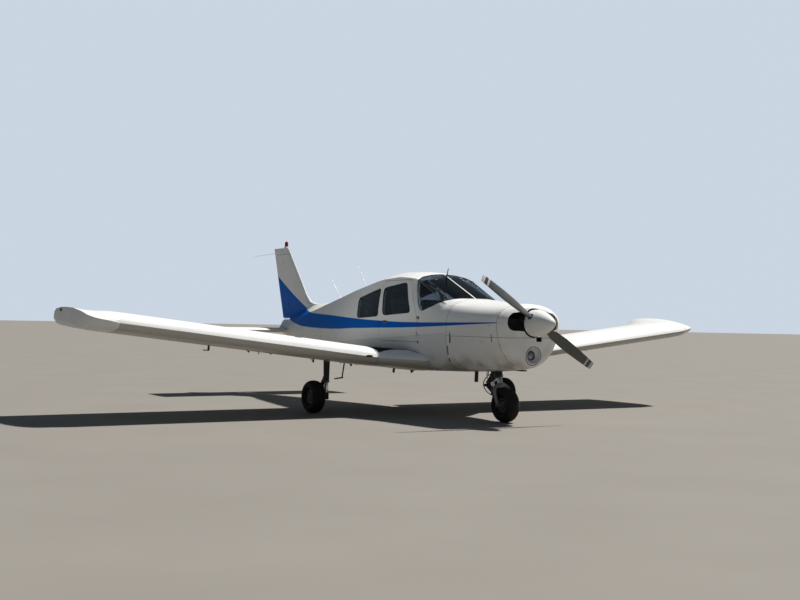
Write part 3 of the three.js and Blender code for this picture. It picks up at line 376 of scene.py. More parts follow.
# %% Where the fin and the rudder are blue: under a slanted line
FIN_LINE_Y, FIN_LINE_Z, FIN_LINE_SLOPE = 2.373, 1.3685, 0.4845
FIN_BLUE_LOW = 1.183


def fin_area(axes):
    line = (axes["Y"] - FIN_LINE_Y) * FIN_LINE_SLOPE + FIN_LINE_Z
    return between(axes["Z"], FIN_BLUE_LOW, line, 0.003)


# %% The skin below a lap joint along the side is a shade darker
LAP_Z, LAP_SLOPE, LAP_BACK = 0.9015, -0.0645, 0.47
LAP_SHADE = (0.70, 0.71, 0.70, 1)
LAP_DARKNESS = 0.35


def lap_line(axes):
    depth = axes["Y"] * LAP_SLOPE + LAP_Z - axes["Z"]
    ahead = calc("LESS_THAN", axes["Y"], LAP_BACK)
    joint = use(seam, {"Value": depth, "Width": 0.005})["Mask"]
    return ramp(depth, 0.0, 0.004) * ahead, joint * (ahead * LAP_DARKNESS)


# %% The dark lining shows where a face of the hollow cabin looks toward its middle line
CABIN_MIDDLE_Z = 1.15
LINING = (0.03, 0.03, 0.03, 1)


def normal_of(tree):
    return axes_of(coordinate(tree, "Normal"))


def inward(axes, normal):
    outward = normal["X"] * axes["X"] + normal["Z"] * (axes["Z"] - CABIN_MIDDLE_Z)
    return smooth_range(outward, -0.06, -0.12)


# %% [markdown]
# ### Walkway and air hole
# People climb in over a gritty black strip on the right wing's root. It is paint with sand
# in it, so it is a matt area of the wing's finish and not a sheet laid on top. The small
# air hole isn't cut: a near-black oval of painted shade stands for its shaded inside.

# %% Black anti-slip strip on the right wing's root, and the small oval air hole in its nose
WALK_X, WALK_Y = (-0.98, -0.50), (-1.36, -0.12)
WALK_BLACK, WALK_GREY = (0.012, 0.012, 0.012, 1), (0.045, 0.043, 0.04, 1)
HOLE_PLACE, HOLE_HALF, HOLE_DEPTH = Vector((-1.146, -1.41, 0.743)), (0.052, 0.013), 0.12
# Painted shade: the near-black colour of the air hole's shaded inside
HOLE_SHADE = (0.006, 0.006, 0.006, 1)


def wing_extras(place, axes, normal, colour):
    area = between(axes["X"], *WALK_X, 0.003) * between(axes["Y"], *WALK_Y, 0.003)
    strip = area * smooth_range(normal["Z"], 0.4, 0.6)
    grit = smooth_range(noise(place, 260, 2), 0.45, 0.6)
    colour = mix_colour(strip, colour, mix_colour(grit, WALK_BLACK, WALK_GREY))
    # The air hole: an oval of painted shade on the wing's nose
    side = (axes["X"] - HOLE_PLACE.x) / HOLE_HALF[0]
    height = (axes["Z"] - HOLE_PLACE.z) / HOLE_HALF[1]
    front = calc("LESS_THAN", axes["Y"], HOLE_PLACE.y + HOLE_DEPTH)
    hole = calc("LESS_THAN", radius_from(side, height), 1.0) * front
    return mix_colour(hole, colour, HOLE_SHADE), strip


# %% One recipe for every painted skin
DUST_SHARE, DUST_LESS_ON_BLUE = 0.16, 0.145
GRIME_HEIGHTS = (0.86, 0.60)
# Painted shade: faces that look down are darkened toward a warm brown, the shade under the wings and on their
# leading edges, tinted by light off the ground
UNDERSIDE_SHADE = (0.19, 0.165, 0.12, 1)
SEAM_WIDTH, SEAM_DARKNESS, RIVET_DARKNESS = 0.0045, 0.9, 0.22


def painted(name, blue_mask=None, seams=(), rivet_rows=(), lined=False, lapped=False, walked=False,
            grime=0.0, dark_ends=False, underside_shade=0.0):
    shader, place, axes = material(name)
    normal = normal_of(place.tree)
    base, joints, dots, amount = WHITE, 0.0, 0.0, DUST_SHARE
    if lapped:
        below_lap, joints = lap_line(axes)
        base = mix_colour(below_lap, base, LAP_SHADE)
    if blue_mask is not None:
        blue = blue_mask(axes)
        base = mix_colour(blue, base, BLUE)
        amount = DUST_SHARE - blue * DUST_LESS_ON_BLUE
    dirty = soil(place, base, DUST, amount, 0.26)
    colour, roughness = dirty["Color"], dirty["Roughness"]
    if grime:
        cloud = smooth_range(noise(place, 5.0, 6), 0.3, 0.65)
        colour = mix_colour(smooth_range(axes["Z"], *GRIME_HEIGHTS) * cloud * grime, colour, OILY)
    # Painted shade where the face looks down
    if underside_shade:
        colour = mix_colour(smooth_range(normal["Z"], 0.25, -0.2) * underside_shade, colour, UNDERSIDE_SHADE)
    for axis, where in seams:
        mask = use(seam, {"Value": axes[axis], "Place": where, "Width": SEAM_WIDTH})["Mask"]
        joints = calc("MAXIMUM", joints, mask * SEAM_DARKNESS)
    for along_axis, across_axis, row in rivet_rows:
        words = {"Along": axes[along_axis], "Across": axes[across_axis], "Row": row}
        dots = calc("MAXIMUM", dots, use(rivets, words)["Mask"])
    if rivet_rows:
        colour = mix_colour(dots * RIVET_DARKNESS, colour, SEAM_DARK)
    if seams or lapped:
        colour = mix_colour(joints, colour, SEAM_DARK)
    if lined:
        colour = mix_colour(inward(axes, normal), colour, LINING)
    if dark_ends:
        colour = mix_colour(calc("GREATER_THAN", calc("ABSOLUTE", normal["Y"]), 0.6), colour, LINING)
    if walked:
        colour, strip = wing_extras(place, axes, normal, colour)
        roughness = calc("MAXIMUM", roughness, strip * 0.9)
    feed(shader, {"Base Color": colour, "Roughness": roughness, "Specular IOR Level": 0.2, "IOR": 1.2})
    bump(shader, dirty["Height"] * 0.15 + dots - joints, 0.12, 0.002)


# %% The painted skins
BODY_RIVETS = [("Z", "Y", 0.42)]
WING_RIVETS = [("Y", "X", 0.36), ("X", "Y", 0.38)]
TAIL_SEAMS = [("Y", 1.18), ("Y", 1.96)]
COWL_SEAMS = [("Y", BOWL_SEAM_Y), ("Z", 1.010), ("Y", -2.151)]
painted("body_paint", body_stripe, (), BODY_RIVETS, lined=True, lapped=True, grime=0.55)
painted("tail_paint", body_stripe, TAIL_SEAMS, BODY_RIVETS, grime=0.4)
painted("cowl_paint", body_stripe, COWL_SEAMS, grime=0.75)
painted("rim_paint", body_stripe, [("Y", -2.151)], lapped=True, grime=0.55, dark_ends=True)
painted("wing_paint", None, [("X", 1.02), ("X", -1.02)], WING_RIVETS, walked=True, underside_shade=0.5)
painted("control_paint", None, (), [("Y", "X", 0.28)], underside_shade=0.4)
painted("fin_paint", fin_area, [("Z", 2.19)], [("Z", "Y", 0.3)])
painted("plain_paint")
print("paints:", [m.name for m in bpy.data.materials if "paint" in m.name])

# %% [markdown]
# ## Rubber, metal and plastic
# The other finishes are short networks of their own. Most are a clean colour, a dirt colour
# and a grain, so one recipe with a table of values makes them all.


# %% A worn metal or plastic from a few values
def worn_finish(name, clean, dirt, amount, gloss, metallic):
    shader, place, _ = material(name)
    dirty = soil(place, (*clean, 1), (*dirt, 1), amount, gloss)
    feed(shader, {"Base Color": dirty["Color"], "Roughness": dirty["Roughness"], "Metallic": metallic})
    bump(shader, noise(place, 90, 4), 0.25, 0.0006)


WORN = {
    # name: clean colour, dirt colour, dirt share, roughness, metallic
    "rubber": ((0.004, 0.004, 0.004), (0.018, 0.016, 0.013), 0.30, 0.75, 0.0),
    "leg_grey": ((0.035, 0.036, 0.038), (0.015, 0.013, 0.011), 0.6, 0.42, 0.5),
    "chrome": ((0.62, 0.63, 0.64), (0.20, 0.18, 0.15), 0.35, 0.14, 1.0),
    "rim_grey": ((0.20, 0.20, 0.195), (0.035, 0.03, 0.025), 0.9, 0.45, 0.2),
    "steel_dark": ((0.045, 0.040, 0.036), (0.018, 0.011, 0.007), 0.7, 0.5, 0.6),
    "engine_metal": ((0.05, 0.05, 0.05), (0.012, 0.012, 0.01), 0.7, 0.55, 0.5),
    "trim_black": ((0.012, 0.012, 0.013), (0.035, 0.033, 0.03), 0.3, 0.6, 0.0),
    "fastener_grey": ((0.16, 0.16, 0.16), (0.04, 0.035, 0.03), 0.7, 0.4, 0.7),
    # Near-black seal strip at the wing root, with the painted shade of the corner there
    "root_gap_and_shade": ((0.004, 0.004, 0.004), (0.008, 0.008, 0.007), 0.3, 0.9, 0.0),
    "enamel_white": ((0.78, 0.78, 0.76), (0.36, 0.33, 0.27), 0.15, 0.25, 0.0),
    "bulkhead_grey": ((0.05, 0.05, 0.048), (0.03, 0.028, 0.025), 0.4, 0.8, 0.0),
    "lamp_green": ((0.01, 0.09, 0.035), (0.01, 0.03, 0.02), 0.2, 0.12, 0.0),
    "lamp_red": ((0.28, 0.008, 0.006), (0.10, 0.01, 0.01), 0.2, 0.12, 0.0),
}
for name, values in WORN.items():
    worn_finish(name, *values)
print("worn finishes:", len(WORN))

# %% [markdown]
# ### Nose fork
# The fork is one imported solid, but a black collar clamps the silver arms of the real one.
# The finish measures how far each point lies up and behind the raked leg, and picks the
# colour from that, so the solid needn't be cut in two.

# %% Nose fork: silver arms under a black collar, with black links behind
AXLE_PLACE = Vector((0.0, -2.634, 0.205))
RAKE = math.radians(22)
LEG_UP = Vector((0, math.sin(RAKE), math.cos(RAKE)))
LEG_AFT = Vector((0, math.cos(RAKE), -math.sin(RAKE)))
COLLAR_LOW = 0.344
LINKS_AFT = 0.042
FORK_SILVER, FORK_BLACK = (0.26, 0.27, 0.29, 1), (0.014, 0.014, 0.014, 1)


def beyond(place, direction, limit):
    from_axle = step(place.tree, "ShaderNodeVectorMath", {0: place, 1: AXLE_PLACE}, operation="SUBTRACT")
    words = {0: from_axle, 1: direction}
    reach = step(place.tree, "ShaderNodeVectorMath", words, "Value", operation="DOT_PRODUCT")
    return calc("GREATER_THAN", reach, limit)


shader, place, axes = material("fork_finish")
black = calc("MAXIMUM", beyond(place, LEG_UP, COLLAR_LOW), beyond(place, LEG_AFT, LINKS_AFT))
dirty = soil(place, mix_colour(black, FORK_SILVER, FORK_BLACK), (0.05, 0.045, 0.04, 1), 0.5, 0.34)
feed(shader, {"Base Color": dirty["Color"], "Roughness": dirty["Roughness"], "Metallic": (1.0 - black) * 0.5})
bump(shader, dirty["Height"], 0.2, 0.0006)

# %% [markdown]
# ### Propeller blades
# The blades are dark grey with pale bands near the tips, which draw a circle when they
# turn. A band is a ring round the hub, so the distance from the hub picks the colour.

# %% Blade paint with tip bands, measured from the hub
HUB_Z = 1.18
BLADE_CHARCOAL = (0.078, 0.084, 0.080, 1)
BAND_WHITE = (0.60, 0.60, 0.58, 1)
TIP_BANDS = [(0.835, 0.862, BAND_WHITE), (0.862, 0.905, (0.06, 0.063, 0.066, 1)), (0.905, 0.96, BAND_WHITE)]

shader, place, axes = material("blade_paint")
radius = radius_from(axes["X"], axes["Z"], 0.0, HUB_Z)
colour = BLADE_CHARCOAL
for low, high, band in TIP_BANDS:
    colour = mix_colour(between(radius, low, high, 0.003), colour, band)
dirty = soil(place, colour, (0.16, 0.155, 0.14, 1), 0.25, 0.36)
feed(shader, {"Base Color": dirty["Color"], "Roughness": dirty["Roughness"]})
bump(shader, dirty["Height"], 0.08, 0.001)

# %% [markdown]
# ## Window glass
# The panes are tinted and faintly smeared, and the dark cabin shows through them. Clear
# transmission with a grey tint gives that. A low index of refraction keeps the sky's
# reflection weak, as it is in the photograph.

# %% Window glass
TINT_DARK, TINT_PALE = (0.27, 0.31, 0.34, 1), (0.34, 0.38, 0.41, 1)
shader, place, axes = material("window_glass")
smears = noise(place, 7, 5)
feed(shader, {
    "Base Color": mix_colour(smears, TINT_DARK, TINT_PALE),
    "Roughness": smooth_range(smears, 0.3, 0.8, 0.01, 0.05),
    "Transmission Weight": 1.0,
    "IOR": 1.25,
})

# %% [markdown]
# ### Beacon
# A flashing beacon stands on the fin under a ribbed red cap. The ribs are too fine to change
# the outline, so a wave texture draws them and a bump gives them their shine.

# %% Red beacon cap on its white foot
BEACON_BASE = (2.28, 2.311)
shader, place, axes = material("beacon_red")
ribs = waves(place, 60, "Z")
red = mix_colour(ribs, (0.16, 0.003, 0.002, 1), (0.26, 0.008, 0.006, 1))
colour = mix_colour(between(axes["Z"], *BEACON_BASE), red, WHITE)
feed(shader, {"Base Color": colour, "Roughness": smooth_range(ribs, 0, 1, 0.12, 0.2)})
bump(shader, ribs, 0.3, 0.001)

# %% [markdown]
# ### Landing lamp
# A bright dish in the nose holds a darker fluted lens with a black rim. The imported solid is
# one disc, so the distance from its middle picks dish, rim or lens.

# %% Landing lamp: a bright dish round a darker lens
LAMP_Z, LENS_RADIUS = 0.803, 0.050
shader, place, axes = material("lamp_dish")
radius = radius_from(axes["X"], axes["Z"], 0.0, LAMP_Z)
lens = calc("DIVIDE", LENS_RADIUS - radius, 0.003, clamp=True)
flutes = waves(place, 28, "X")
lens_grey = mix_colour(flutes, (0.20, 0.20, 0.23, 1), (0.40, 0.40, 0.44, 1))
rim = between(radius, LENS_RADIUS - 0.012, LENS_RADIUS + 0.001)
dirty = soil(place, (0.72, 0.71, 0.74, 1), DUST, 0.25, 0.3)
face = mix_colour(lens, dirty["Color"], lens_grey)
feed(shader, {
    "Base Color": mix_colour(rim, face, (0.015, 0.014, 0.018, 1)),
    "Roughness": smooth_range(lens, 0, 1, 0.35, 0.08),
    "Metallic": lens * 0.5,
})
bump(shader, flutes * lens, 0.3, 0.001)

# %% [markdown]
# ### Seat cloth
# The seats are covered with a dark woven cloth. Two crossed waves make the weave, and a
# sheen gives the soft pale edge that cloth has and plastic lacks.

# %% Seat cloth: a fine weave over a soiled ground
CLOTH_DARK, CLOTH_DIRT, THREAD = (0.05, 0.056, 0.07, 1), (0.10, 0.095, 0.085, 1), (0.085, 0.09, 0.105, 1)
shader, place, axes = material("seat_cloth")
weave = waves(place, 160, "X") * waves(place, 160, "Z")
dirty = soil(place, CLOTH_DARK, CLOTH_DIRT, 0.3, 0.8)
colour = mix_colour(weave, dirty["Color"], THREAD)
feed(shader, {"Base Color": colour, "Roughness": dirty["Roughness"], "Sheen Weight": 0.3})
bump(shader, weave, 0.4, 0.0008)

# %% [markdown]
# ### Instrument dials
# Each dial has white ticks and a needle. All dials stand on one grid, so one material is
# enough: it folds the coordinates into one cell, and a random value for each cell turns
# the needle.

# %% Instrument dials: white ticks and one needle on each, all on one grid
DIAL_PITCH, DIAL_TICKS, DIAL_ROW_Z = 0.086, 12, 1.245
shader, place, axes = material("dial_face")
column = (axes["X"] + 0.5 * DIAL_PITCH) / DIAL_PITCH
row = (axes["Z"] - (DIAL_ROW_Z - 0.5 * DIAL_PITCH)) / DIAL_PITCH
dx = (calc("FRACT", column) - 0.5) * DIAL_PITCH
dz = (calc("FRACT", row) - 0.5) * DIAL_PITCH
radius = radius_from(dx, dz)
turn = calc("ARCTAN2", dz, dx) / math.tau + 0.5
tick = between(calc("FRACT", turn * DIAL_TICKS), 0.40, 0.60, 0.02) * between(radius, 0.022, 0.031, 0.0005)
cell = step(place.tree, "ShaderNodeCombineXYZ", {0: calc("FLOOR", column), 1: calc("FLOOR", row)})
lean = step(place.tree, "ShaderNodeTexWhiteNoise", {"Vector": cell}, "Value", noise_dimensions="2D")
needle = calc("LESS_THAN", calc("ABSOLUTE", turn - lean), 0.02) * calc("LESS_THAN", radius, 0.024)
marks = calc("MAXIMUM", tick, needle)
colour = mix_colour(marks, (0.008, 0.008, 0.009, 1), (0.7, 0.7, 0.68, 1))
feed(shader, {"Base Color": colour, "Roughness": smooth_range(marks, 0, 1, 0.15, 0.4)})

# %% [markdown]
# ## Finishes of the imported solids
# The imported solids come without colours. One table says which finish each of them wears,
# because a table is easier to check than a line for every solid. Solids that the table
# leaves out are printed.

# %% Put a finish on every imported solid
BOTH = ("left", "right")
FINISHES = {
    "body_paint": [
        "cabin_floor", "front_body", "side_panel_left", "side_panel_right", "cabin_roof", "cabin_door",
    ],
    "tail_paint": ["tail_cone"],
    "cowl_paint": ["nose_bowl", "cowl_top", "cowl_lower"],
    "wing_paint": [f"wing_{side}" for side in BOTH],
    "control_paint": [f"{part}_{side}" for part in ("flap", "aileron") for side in BOTH]
    + ["stabilator", "stabilator_tab"],
    "plain_paint": ["wing_tip_left", "wing_tip_right", "spinner"],
    "fin_paint": ["fin", "rudder"],
    "window_glass": [f"{pane}_{side}" for pane in ("windscreen", "rear_window") for side in BOTH]
    + ["front_window_left", "door_window"],
    "rubber": ["main_tyre_left", "main_tyre_right", "nose_tyre"],
    "rim_grey": ["main_rim_left", "main_rim_right", "nose_rim"],
    "leg_grey": ["main_leg_left", "main_leg_right", "nose_housing", "boarding_step"],
    "fork_finish": ["nose_fork"],
    "steel_dark": ["exhaust_pipe"],
    "engine_metal": ["engine_block"],
    "rim_paint": ["firewall"],
    "trim_black": ["instrument_panel", "yoke_left", "yoke_right"],
    "bulkhead_grey": ["bulkhead"],
    "seat_cloth": ["front_seat_left", "front_seat_right", "rear_seat"],
    "blade_paint": ["propeller"],
    "beacon_red": ["beacon"],
    "lamp_dish": ["landing_light"],
}
for finish, names in FINISHES.items():
    for name in names:
        nodes[name].data.materials.clear()
        nodes[name].data.materials.append(bpy.data.materials[finish])
finished = {name for names in FINISHES.values() for name in names}
print("without a finish:", sorted(set(nodes) - finished))

# %% [markdown]
# ## Helpers for new pieces
# A new piece is a small mesh built with mesh operators, then stored as an object that rides
# on a body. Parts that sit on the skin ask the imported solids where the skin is, by a ray.

# %% Store a finished mesh as a piece
SIDES = ((1, "left"), (-1, "right"))
made_pieces = []


def settle(piece, finish, body):
    piece.data.materials.append(bpy.data.materials[finish])
    bpy.context.scene.collection.objects.link(piece)
    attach(piece, body)
    made_pieces.append(piece.name)
    print("piece:", piece.name, "on", body, "with", finish)
    return piece


def keep(mesh, name, finish, body="airframe", crease=38):
    data = bpy.data.meshes.new(name)
    mesh.to_mesh(data)
    mesh.free()
    data.shade_smooth()
    data.set_sharp_from_angle(angle=math.radians(crease))
    return settle(bpy.data.objects.new(name, data), finish, body)


# %% Store a thin tube along a path
def wire(name, path, radius, finish, body="airframe", cyclic=False, smooth=True):
    data = bpy.data.curves.new(name, "CURVE")
    data.dimensions = "3D"
    data.bevel_depth = radius
    data.bevel_resolution = 2
    data.use_fill_caps = not cyclic
    spline = data.splines.new("NURBS" if smooth else "POLY")
    spline.points.add(len(path) - 1)
    for point, spot in zip(spline.points, path):
        point.co = (*spot, 1)
    spline.use_cyclic_u = cyclic
    if smooth:
        spline.order_u = 4
        spline.use_endpoint_u = True
        spline.resolution_u = 6
    settle(bpy.data.objects.new(name, data), finish, body)


# %% Moves, turns and places round a circle
def by(x=0.0, y=0.0, z=0.0):
    return Vector((x, y, z))


def on_side(side, place):
    x, y, z = place
    return Vector((side * x, y, z))


def facing(place, axis):
    return Matrix.Translation(place) @ Vector(axis).to_track_quat("Z", "Y").to_matrix().to_4x4()


def tilted(angle):
    return Matrix.Rotation(angle, 4, "X")


def round_places(count, start=0.0):
    turns = [math.tau * (i + start) / count for i in range(count)]
    return [(math.cos(turn), math.sin(turn)) for turn in turns]


# %% Shapes that many pieces start from
def rod(mesh, start, end, radius, tip=None, sides=16):
    start, end = Vector(start), Vector(end)
    bmesh.ops.create_cone(
        mesh, cap_ends=True, segments=sides, radius1=radius, radius2=radius if tip is None else tip,
        depth=(end - start).length, matrix=facing((start + end) / 2, end - start),
    )


def bar(mesh, place, size, edge=0.001, turn=Matrix()):
    matrix = Matrix.Translation(place) @ turn @ Matrix.Diagonal((*size, 1))
    made = bmesh.ops.create_cube(mesh, size=1, matrix=matrix)
    edges = list(dict.fromkeys(link for corner in made["verts"] for link in corner.link_edges))
    bmesh.ops.bevel(mesh, geom=edges, offset=edge, segments=2, profile=0.5, affect="EDGES", material=-1)


def turned(mesh, profile, place, axis, steps=32, closed=False):
    part = bmesh.new()
    points = [part.verts.new((radius, 0, height)) for radius, height in profile]
    ends = points[1:] + [points[0]] if closed else points[1:]
    edges = [part.edges.new(pair) for pair in zip(points, ends)]
    bmesh.ops.spin(
        part, geom=points + edges, axis=(0, 0, 1), cent=(0, 0, 0), dvec=(0, 0, 0),
        angle=math.tau, steps=steps, use_merge=True, use_duplicate=False,
    )
    bmesh.ops.remove_doubles(part, verts=part.verts, dist=0.00001)
    bmesh.ops.recalc_face_normals(part, faces=part.faces)
    bmesh.ops.transform(part, matrix=facing(place, axis), verts=part.verts)
    data = bpy.data.meshes.new("part")
    part.to_mesh(data)
    part.free()
    mesh.from_mesh(data)
    bpy.data.meshes.remove(data)


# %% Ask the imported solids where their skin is
skin_trees = {}


def on_skin(node, start, direction):
    if node not in skin_trees:
        surface = bmesh.new()
        surface.from_mesh(nodes[node].data)
        skin_trees[node] = BVHTree.FromBMesh(surface)
        surface.free()
    spot, normal, _, _ = skin_trees[node].ray_cast(Vector(start), Vector(direction))
    if spot is None:
        raise ValueError(f"no skin of {node} along the ray from {tuple(start)}")
    if normal.dot(Vector(direction)) > 0:
        normal = -normal
    return spot, normal


def beside(node, side, y, z):
    return on_skin(node, (6 * side, y, z), (-side, 0, 0))


def above(node, x, y):
    return on_skin(node, (x, y, 4), (0, 0, -1))


def below(node, x, y):
    return on_skin(node, (x, y, -1), (0, 0, 1))


print("skin of the roof at its middle:", above("cabin_roof", 0.01, -1.0)[0].z)

# %% [markdown]
# ## Tyres
# A tyre of this size has a round crown with a few straight grooves and a bulging side wall.
# Its section is one closed outline, spun round the axle. The tread is in the outline,
# because grooves that show at the edge of the tyre need real depth.

# %% Section of the tyre
TYRE_RADIUS, TYRE_HALF, SIDE_RADIUS = 0.205, 0.083, 0.150
WIDTH_POWER, HEIGHT_POWER = 0.85, 0.9
BEAD_RADIUS, BEAD_HALF = 0.0843, 0.042
CROWN_HALF = 0.072
CROWN_PLACES = (-CROWN_HALF, -0.058, -0.030, 0.0, 0.030, 0.058, CROWN_HALF)
GROOVES = (-0.044, -0.015, 0.015, 0.044)
GROOVE_HALF, GROOVE_DEPTH = 0.0032, 0.0055
SIDE_ANGLES = (24, 12, 3, -6, -9, -12, -22, -34, -46, -58)
RIB_ANGLES, RIB_HEIGHT = (-9,), 0.0012


def crown_radius(across):
    share = (abs(across) / TYRE_HALF) ** (1 / WIDTH_POWER)
    return SIDE_RADIUS + (TYRE_RADIUS - SIDE_RADIUS) * math.sqrt(1 - share * share) ** HEIGHT_POWER


def side_point(degrees):
    swing = math.radians(degrees)
    lift = math.sin(swing)
    rise = math.copysign(abs(lift) ** HEIGHT_POWER, lift) * (TYRE_RADIUS - SIDE_RADIUS)
    rib = RIB_HEIGHT if degrees in RIB_ANGLES else 0
    return SIDE_RADIUS + rise, TYRE_HALF * math.cos(swing) ** WIDTH_POWER + rib


def tyre_section():
    crown = [(crown_radius(x), x) for x in CROWN_PLACES]
    for place in GROOVES:
        for offset, depth in ((-1.0, 0), (-0.7, 1), (0.7, 1), (1.0, 0)):
            across = place + offset * GROOVE_HALF
            crown.append((crown_radius(across) - depth * GROOVE_DEPTH, across))
    crown.sort(key=lambda point: point[1])
    wall = [side_point(degrees) for degrees in SIDE_ANGLES]
    mirrored = [(radius, -across) for radius, across in reversed(wall)]
    return [(BEAD_RADIUS, -BEAD_HALF)] + mirrored + crown + wall + [(BEAD_RADIUS, BEAD_HALF)]


# %% One tyre on each wheel
WHEELS = {
    # label: centre, body, side of the valve and the hub cap, tyre that the new one stands for
    "main_left": (Vector((1.5, -0.651, 0.205)), "main_wheel_left", 1, "main_tyre_left"),
    "main_right": (Vector((-1.5, -0.651, 0.205)), "main_wheel_right", -1, "main_tyre_right"),
    "nose": (AXLE_PLACE, "nose_wheel", -1, "nose_tyre"),
}
for label, (centre, body, _, node) in WHEELS.items():
    mesh = bmesh.new()
    turned(mesh, tyre_section(), centre, (1, 0, 0), steps=112, closed=True)
    tyre = keep(mesh, f"{label}_tyre_rubber", "rubber", body, crease=50)
    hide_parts(node)
print("tyre section points:", len(tyre_section()))

# %% [markdown]
# ## Wheel fittings
# The two halves of a wheel are held by a ring of bolts, and a cap covers the axle nut of a
# main wheel. Each wheel's fittings are one mesh, made by a loop round the axle.

# %% Bolts, valve stem, flange lip and hub cap
BOLT_RING, BOLTS, BOLT_FOOT = 0.0575, 6, 0.019
NUT_HEIGHT, NUT_RADIUS = 0.007, 0.0058
BOLT_HEIGHT, BOLT_RADIUS = 0.010, 0.003
STEM_PLACE, STEM_REACH, STEM_RADII = (0.020, 0.045, 0.045), (0.02, 0.004, 0.004), (0.0035, 0.0028)
CAP = [
    (0.0, 0.062), (0.014, 0.0605), (0.024, 0.055), (0.030, 0.047), (0.031, 0.0465), (0.031, 0.044),
    (0.0, 0.044),
]
LIP = [(0.0785, 0.0415), (0.083, 0.0425), (0.0865, 0.0415), (0.083, 0.0405)]

for label, (centre, body, outer_side, _) in WHEELS.items():
    mesh = bmesh.new()
    for side in (-1, 1):
        for y, z in round_places(BOLTS):
            foot = centre + by(side * BOLT_FOOT, y * BOLT_RING, z * BOLT_RING)
            rod(mesh, foot, foot + by(side * NUT_HEIGHT), NUT_RADIUS, sides=6)
            rod(mesh, foot, foot + by(side * BOLT_HEIGHT), BOLT_RADIUS, sides=8)
        turned(mesh, LIP, centre, (side, 0, 0), steps=48, closed=True)
    stem = centre + on_side(outer_side, STEM_PLACE)
    rod(mesh, stem, stem + on_side(outer_side, STEM_REACH), *STEM_RADII, sides=10)
    if label != "nose":
        turned(mesh, CAP, centre, (outer_side, 0, 0), steps=28)
    keep(mesh, f"{label}_wheel_fittings", "fastener_grey", body)

# %% [markdown]
# ## Brakes
# Each main wheel has a bright steel disc inside, gripped by a caliper on the leg, with a
# thin pipe that runs down to it. The disc is a spun section that rides on the wheel. The
# caliper and the pipe stay with the leg, because they don't turn.

# %% Brake disc on each main wheel, with its caliper and pipe on the leg
DISC = [(0.046, 0.061), (0.088, 0.061), (0.088, 0.068), (0.046, 0.068)]
CALIPER_PLACE, CALIPER_SIZE, CALIPER_TILT = (1.4125, -0.583, 0.262), (0.026, 0.055, 0.048), 0.7
CALIPER_RODS = [
    # inner end, outer end, radius
    ((1.340, -0.583, 0.262), (1.400, -0.583, 0.262), 0.014),
    ((1.345, -0.640, 0.225), (1.400, -0.600, 0.250), 0.007),
]
PIPE_RADIUS = 0.0045
PIPE_PATH = [
    (1.300, -0.615, 0.585), (1.270, -0.560, 0.51), (1.285, -0.520, 0.41), (1.340, -0.535, 0.33),
    (1.405, -0.585, 0.285),
]
for side, label in SIDES:
    centre = WHEELS[f"main_{label}"][0]
    mesh = bmesh.new()
    turned(mesh, DISC, centre, (-side, 0, 0), steps=40, closed=True)
    keep(mesh, f"brake_disc_{label}", "chrome", f"main_wheel_{label}")
    mesh = bmesh.new()
    bar(mesh, on_side(side, CALIPER_PLACE), CALIPER_SIZE, 0.004, tilted(CALIPER_TILT))
    for inner, outer, radius in CALIPER_RODS:
        rod(mesh, on_side(side, inner), on_side(side, outer), radius)
    keep(mesh, f"brake_caliper_{label}", "fastener_grey")
    wire(f"brake_pipe_{label}", [on_side(side, spot) for spot in PIPE_PATH], PIPE_RADIUS, "trim_black")

# %% [markdown]
# ## Main legs
# A bright tube slides in each leg, a gland ring closes the leg round it, and bolts join the
# links behind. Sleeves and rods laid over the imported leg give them, so that the leg itself
# stays one solid.

# %% Bright tube, gland ring and link bolts on each main leg
LEG_FOOT = (1.318, -0.651, 0)
SLEEVE = [(0.0246, 0.255), (0.0252, 0.258), (0.0252, 0.380), (0.0246, 0.383)]
GLAND = [(0.030, 0.380), (0.0385, 0.384), (0.0385, 0.398), (0.034, 0.402)]
LINK_PINS = ((0.030, 0.446), (0.124, 0.343), (0.030, 0.232))
PIN_HALF, PIN_RADIUS = 0.032, 0.0055
HEAD_START, HEAD_END, HEAD_RADIUS = 0.027, 0.034, 0.0095
for side, label in SIDES:
    foot = on_side(side, LEG_FOOT)
    mesh = bmesh.new()
    turned(mesh, SLEEVE, foot, (0, 0, 1), steps=28, closed=True)
    keep(mesh, f"leg_tube_{label}", "chrome")
    mesh = bmesh.new()
    turned(mesh, GLAND, foot, (0, 0, 1), steps=28, closed=True)
    for aft, height in LINK_PINS:
        pin = foot + by(0, aft, height)
        rod(mesh, pin - by(PIN_HALF), pin + by(PIN_HALF), PIN_RADIUS, sides=10)
        for end in (-1, 1):
            rod(mesh, pin + by(end * HEAD_START), pin + by(end * HEAD_END), HEAD_RADIUS, sides=6)
    keep(mesh, f"leg_fittings_{label}", "fastener_grey")

# %% [markdown]
# ## Nose leg
# A hose loops out behind the links, a bright tube slides in the black collar, and large nuts
# hold the axle in the fork. They turn with the fork, so they ride on the steered body. The
# hose is a curve with a round section, because a bent tube is easiest to draw as a line.

# %% Hose loop, bright tube and nuts
HOSE_X, HOSE_RADIUS = 0.012, 0.0055
HOSE_PATH = [
    (-2.330, 0.560), (-2.285, 0.545), (-2.215, 0.500), (-2.176, 0.450), (-2.180, 0.405), (-2.225, 0.352),
    (-2.290, 0.318), (-2.350, 0.306),
]
NOSE_SLEEVE = [(0.0325, 0.268), (0.033, 0.272), (0.033, 0.340), (0.0325, 0.343)]
NOSE_NUT = [(0.0, 0.139), (0.010, 0.139), (0.014, 0.134), (0.024, 0.134), (0.024, 0.127), (0.0, 0.127)]
NOSE_COLLAR = [(0.050, 0.0), (0.0535, 0.002), (0.0535, 0.006), (0.050, 0.008)]
NOSE_COLLAR_FEET = (0.348, 0.392)
LINK_KNEE = AXLE_PLACE + LEG_UP * 0.343 + LEG_AFT * 0.275
KNEE_START, KNEE_END, KNEE_RADIUS = 0.022, 0.032, 0.011

